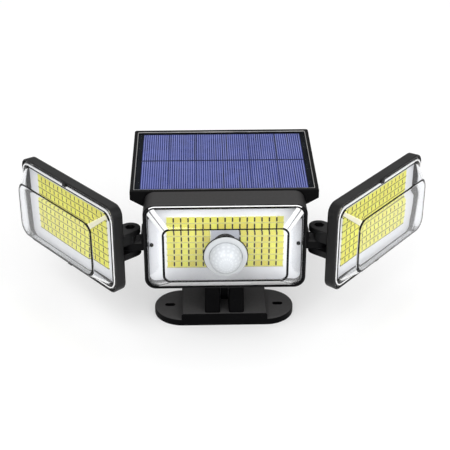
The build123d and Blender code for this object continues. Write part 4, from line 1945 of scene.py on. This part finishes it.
@dataclass
class MainLamp:
    """The main lamp with its lens, LED field, sensor and rear housing."""

    reach: float = 45.5 * MM
    axis_height: float = 85.0 * MM
    half_width: float = 62.5 * MM
    half_height: float = 36.5 * MM
    corner: float = 9.0 * MM
    lens: LensCover = field(default_factory=main_lens)
    leds: LedField = field(default_factory=main_leds)
    sensor: SensorDome = field(default_factory=SensorDome)

    def build(self) -> None:
        """Build and dress the main lamp."""
        place = Place(Vector((0, -self.reach, self.axis_height)))
        rim = Rim(place, self.half_width, self.half_height, self.corner)
        dress(BLACK_PLASTIC.material(rim), "lamp_housing")
        self.dress_nodes()
        self.lens.build(place, Body.LAMP)
        self.leds.build(place, Body.LAMP)
        self.sensor.build(place)

    @staticmethod
    def dress_nodes() -> None:
        """Dress the rear housing, the pieces behind the lens and inside, and the mode button."""
        for finish, *nodes in (
            (TRAY_PLASTIC, "rear_housing"),
            (BOARD_WHITE, "main_led_board"),
            (SEAL_RUBBER, "main_lens_seal"),
            (BLACK_SCREW, "board_screws"),
            (SENSOR_BLACK, "sensor_holder"),
            (ZINC_STEEL, "motion_sensor", "housing_screws"),
            (INNER_PLASTIC, "battery_holder"),
            (CELL_WRAP, "battery_cell"),
            (CIRCUIT_MASK, "control_board"),
            (COMPONENT_PLASTIC, "control_components", "mode_switch"),
            (BUTTON_RUBBER, "mode_button"),
        ):
            dress(finish.material(), *nodes)


@dataclass
class SideHead:
    """A side head with its lens and LED field, placed from its swivel joint."""

    side: Side
    yaw: float = math.radians(50.5)
    along: float = 54.3 * MM
    back: float = 22.1 * MM
    half_width: float = 64.0 * MM
    half_height: float = 37.5 * MM
    corner: float = 9.0 * MM

    @property
    def body(self) -> Body:
        """The body that the head moves as."""
        return Body.LEFT if self.side is Side.LEFT else Body.RIGHT

    @property
    def prefix(self) -> str:
        """The start of the head's node names."""
        return self.side.name.lower()

    def place(self) -> Place:
        """Work out where the head's lens sits from its swivel joint.

        Returns:
            The local frame of the lens base.
        """
        joint = next(j for j in frame["joints"] if j["child"] == self.body.value)
        sign = self.side.value
        forward = Vector((sign * math.sin(self.yaw), -math.cos(self.yaw), 0))
        outward = Vector((sign * math.cos(self.yaw), math.sin(self.yaw), 0))
        origin = Vector(joint["pos_m"]) + outward * self.along + forward * self.back
        return Place(origin, turn=sign * self.yaw)

    def lens(self) -> LensCover:
        """Size the head's lens.

        Returns:
            The lens, with a flange and one ridge in the corner beside the lamp.
        """
        return LensCover(
            f"{self.prefix}_lens",
            width=120.0 * MM,
            height=63.6 * MM,
            inset_x=8.7 * MM,
            inset_z=8.7 * MM,
            rise=12.5 * MM,
            pane_corner=10.0 * MM,
            flange_x=2.4 * MM,
            flange_z=4.1 * MM,
            ridges=(Ridge(Side(-self.side.value), 32, 60),),
            ridge_finish=RIDGE_WARM_HIGHLIGHT,
            lip_out=2.4 * MM,
            lip_band=1.0 * MM,
            edge=1.3 * MM,
            tab=Vector((5.0, 2.5, 3.7)) * MM,
        )

    def leds(self) -> LedField:
        """Size the head's LED field.

        Returns:
            The field.
        """
        return LedField(
            self.prefix,
            lift=1.9 * MM,
            pitch=(5.95 * MM, 5.95 * MM),
            setback=5.7 * MM,
            pad_share=(1.3, 0.55),
            row_finish=HEAD_ROW_SHADE,
        )

    def build(self) -> None:
        """Build and dress the head."""
        place = self.place()
        rim = Rim(place, self.half_width, self.half_height, self.corner)
        dress(HEAD_PLASTIC.material(rim), f"{self.prefix}_housing")
        for finish, *endings in (
            (BOARD_WHITE, "led_board"),
            (SEAL_RUBBER, "lens_seal"),
            (WASHER_NYLON, "hinge_washers"),
            (BLACK_SCREW, "hinge_screw", "hinge_nut"),
        ):
            dress(finish.material(), *(f"{self.prefix}_{ending}" for ending in endings))
        self.lens().build(place, self.body)
        self.leds().build(place, self.body)


class WallBase:
    """The wall base with its fork and tilt bolt."""

    @staticmethod
    def build() -> None:
        """Dress the base, its bolt and its washers, which keep their CAD shapes."""
        dress(BASE_PLASTIC.material(), "wall_base")
        dress(ZINC_STEEL.material(), "tilt_bolt", "tilt_nut")
        dress(WASHER_NYLON.material(), "tilt_washers")


@dataclass(frozen=True)
class Softbox:
    """A square soft light of the studio, in metres and watts."""

    name: str
    place: Triple
    size: float
    power: float

    def hang(self, target: Vector) -> None:
        """Add the light.

        Args:
            target: What it looks at.
        """
        Bench.clear()
        bpy.ops.object.light_add(type="AREA", location=self.place)
        light = bpy.context.object
        light.name = self.name
        light.data.energy = self.power
        light.data.size = self.size
        way = target - Vector(self.place)
        light.rotation_euler = way.to_track_quat("-Z", "Y").to_euler()


@dataclass
class Studio:
    """Pale floor, soft light and the camera at the photograph's angle."""

    target: Vector = field(default_factory=lambda: Vector((-0.2, -45.5, 104.4)) * MM)
    azimuth: float = math.radians(-1.48)
    elevation: float = math.radians(27.95)
    distance: float = 833.3 * MM
    focal_length: float = 88.0
    sensor: float = 36.0
    floor_size: float = 12.0
    floor_tone: float = 0.62
    # Glow of the floor close to the object and further out: the lower value paints shade round the
    # object.
    floor_glow: Pair = (0.36, 0.46)
    floor_fade: Pair = (0.05, 0.6)
    far_glow: float = 0.26
    far_fade: Pair = (0.7, 3.0)
    world_light: Pair = (0.5, 1.0)
    softboxes: tuple[Softbox, ...] = (
        Softbox("key_softbox", (-0.6, -0.9, 1.2), 1.0, 10.0),
        Softbox("fill_softbox", (0.9, -0.9, 0.9), 0.8, 9.5),
        Softbox("front_softbox", (0.0, -1.6, 0.45), 1.2, 8.0),
        Softbox("back_softbox", (0.1, 0.8, 1.5), 1.2, 5.0),
    )

    def build(self) -> None:
        """Set up the whole studio."""
        bpy.context.scene.view_settings.view_transform = "Standard"
        self.floor()
        self.world()
        for softbox in self.softboxes:
            softbox.hang(self.target)
        self.camera()

    def camera(self) -> None:
        """Add the camera and make it the scene's own."""
        level = math.cos(self.elevation)
        back = Vector(
            (
                math.sin(self.azimuth) * level,
                -math.cos(self.azimuth) * level,
                math.sin(self.elevation),
            )
        )
        Bench.clear()
        bpy.ops.object.camera_add(location=self.target + back * self.distance)
        camera = bpy.context.object
        camera.rotation_euler = (-back).to_track_quat("-Z", "Y").to_euler()
        camera.data.lens = self.focal_length
        camera.data.sensor_width = self.sensor
        bpy.context.scene.camera = camera

    def floor(self) -> None:
        """Add the pale floor, which looks white and keeps a soft shadow, with painted shade round the
        object: its glow is dimmer near the object.
        """
        Bench.clear()
        bpy.ops.mesh.primitive_plane_add(size=self.floor_size)
        floor = Bench.named("studio_floor")
        material, graph, shader = new_material("studio_floor")
        tone = (self.floor_tone, self.floor_tone, self.floor_tone, 1.0)
        graph.feed_all(shader, Base_Color=tone, Roughness=0.9, Specular_IOR_Level=0.0)
        away = graph.add("VectorMath", operation="LENGTH")
        graph.feed(away.inputs[0], graph.local())
        # Painted shade round the object: the glow is dimmer close to its base.
        near = graph.remap(away.outputs["Value"], *self.floor_fade, *self.floor_glow)
        far = graph.remap(away.outputs["Value"], *self.far_fade, 0.0, self.far_glow)
        level = graph.math("ADD", near, far)
        seen = self.seen(graph, "Is Camera Ray", "Is Glossy Ray", "Is Transmission Ray")
        glow = graph.add("Emission")
        graph.feed_all(glow, Strength=graph.math("MULTIPLY", seen, level))
        both = graph.add("AddShader")
        for socket, part in zip(both.inputs, (shader, glow)):
            graph.feed(socket, part.outputs[0])
        graph.feed(graph.tree.nodes["Material Output"].inputs["Surface"], both.outputs[0])
        Bench.load_finishes(floor, material)

    @staticmethod
    def seen(graph: Graph, *kinds: str) -> bpy.types.NodeSocket:
        """Tell the rays that show the background from those that only carry light.

        Args:
            graph: The graph of the floor or the world.
            kinds: The kinds of ray that show it.

        Returns:
            1 for such a ray and 0 for any other.
        """
        rays = graph.add("LightPath").outputs
        level = rays[kinds[0]]
        for kind in kinds[1:]:
            level = graph.math("MAXIMUM", level, rays[kind])
        return level

    def world(self) -> None:
        """Light everything evenly, and show white straight on and through clear pieces."""
        world = bpy.data.worlds.new("studio_world")
        bpy.context.scene.world = world
        world.use_nodes = True
        graph = Graph(world.node_tree)
        shown = self.seen(graph, "Is Camera Ray", "Is Transmission Ray")
        light = world.node_tree.nodes["Background"]
        graph.feed_all(light, Color=WHITE, Strength=graph.remap(shown, 0.0, 1.0, *self.world_light))


def main() -> None:
    """Build every sub-assembly and the studio."""
    logging.basicConfig(level=logging.INFO, format="%(name)s: %(message)s")
    WallBase.build()
    MainLamp().build()
    SolarPanel().build()
    for side in Side:
        SideHead(side).build()
    Studio().build()


if __name__ == "__main__":
    main()
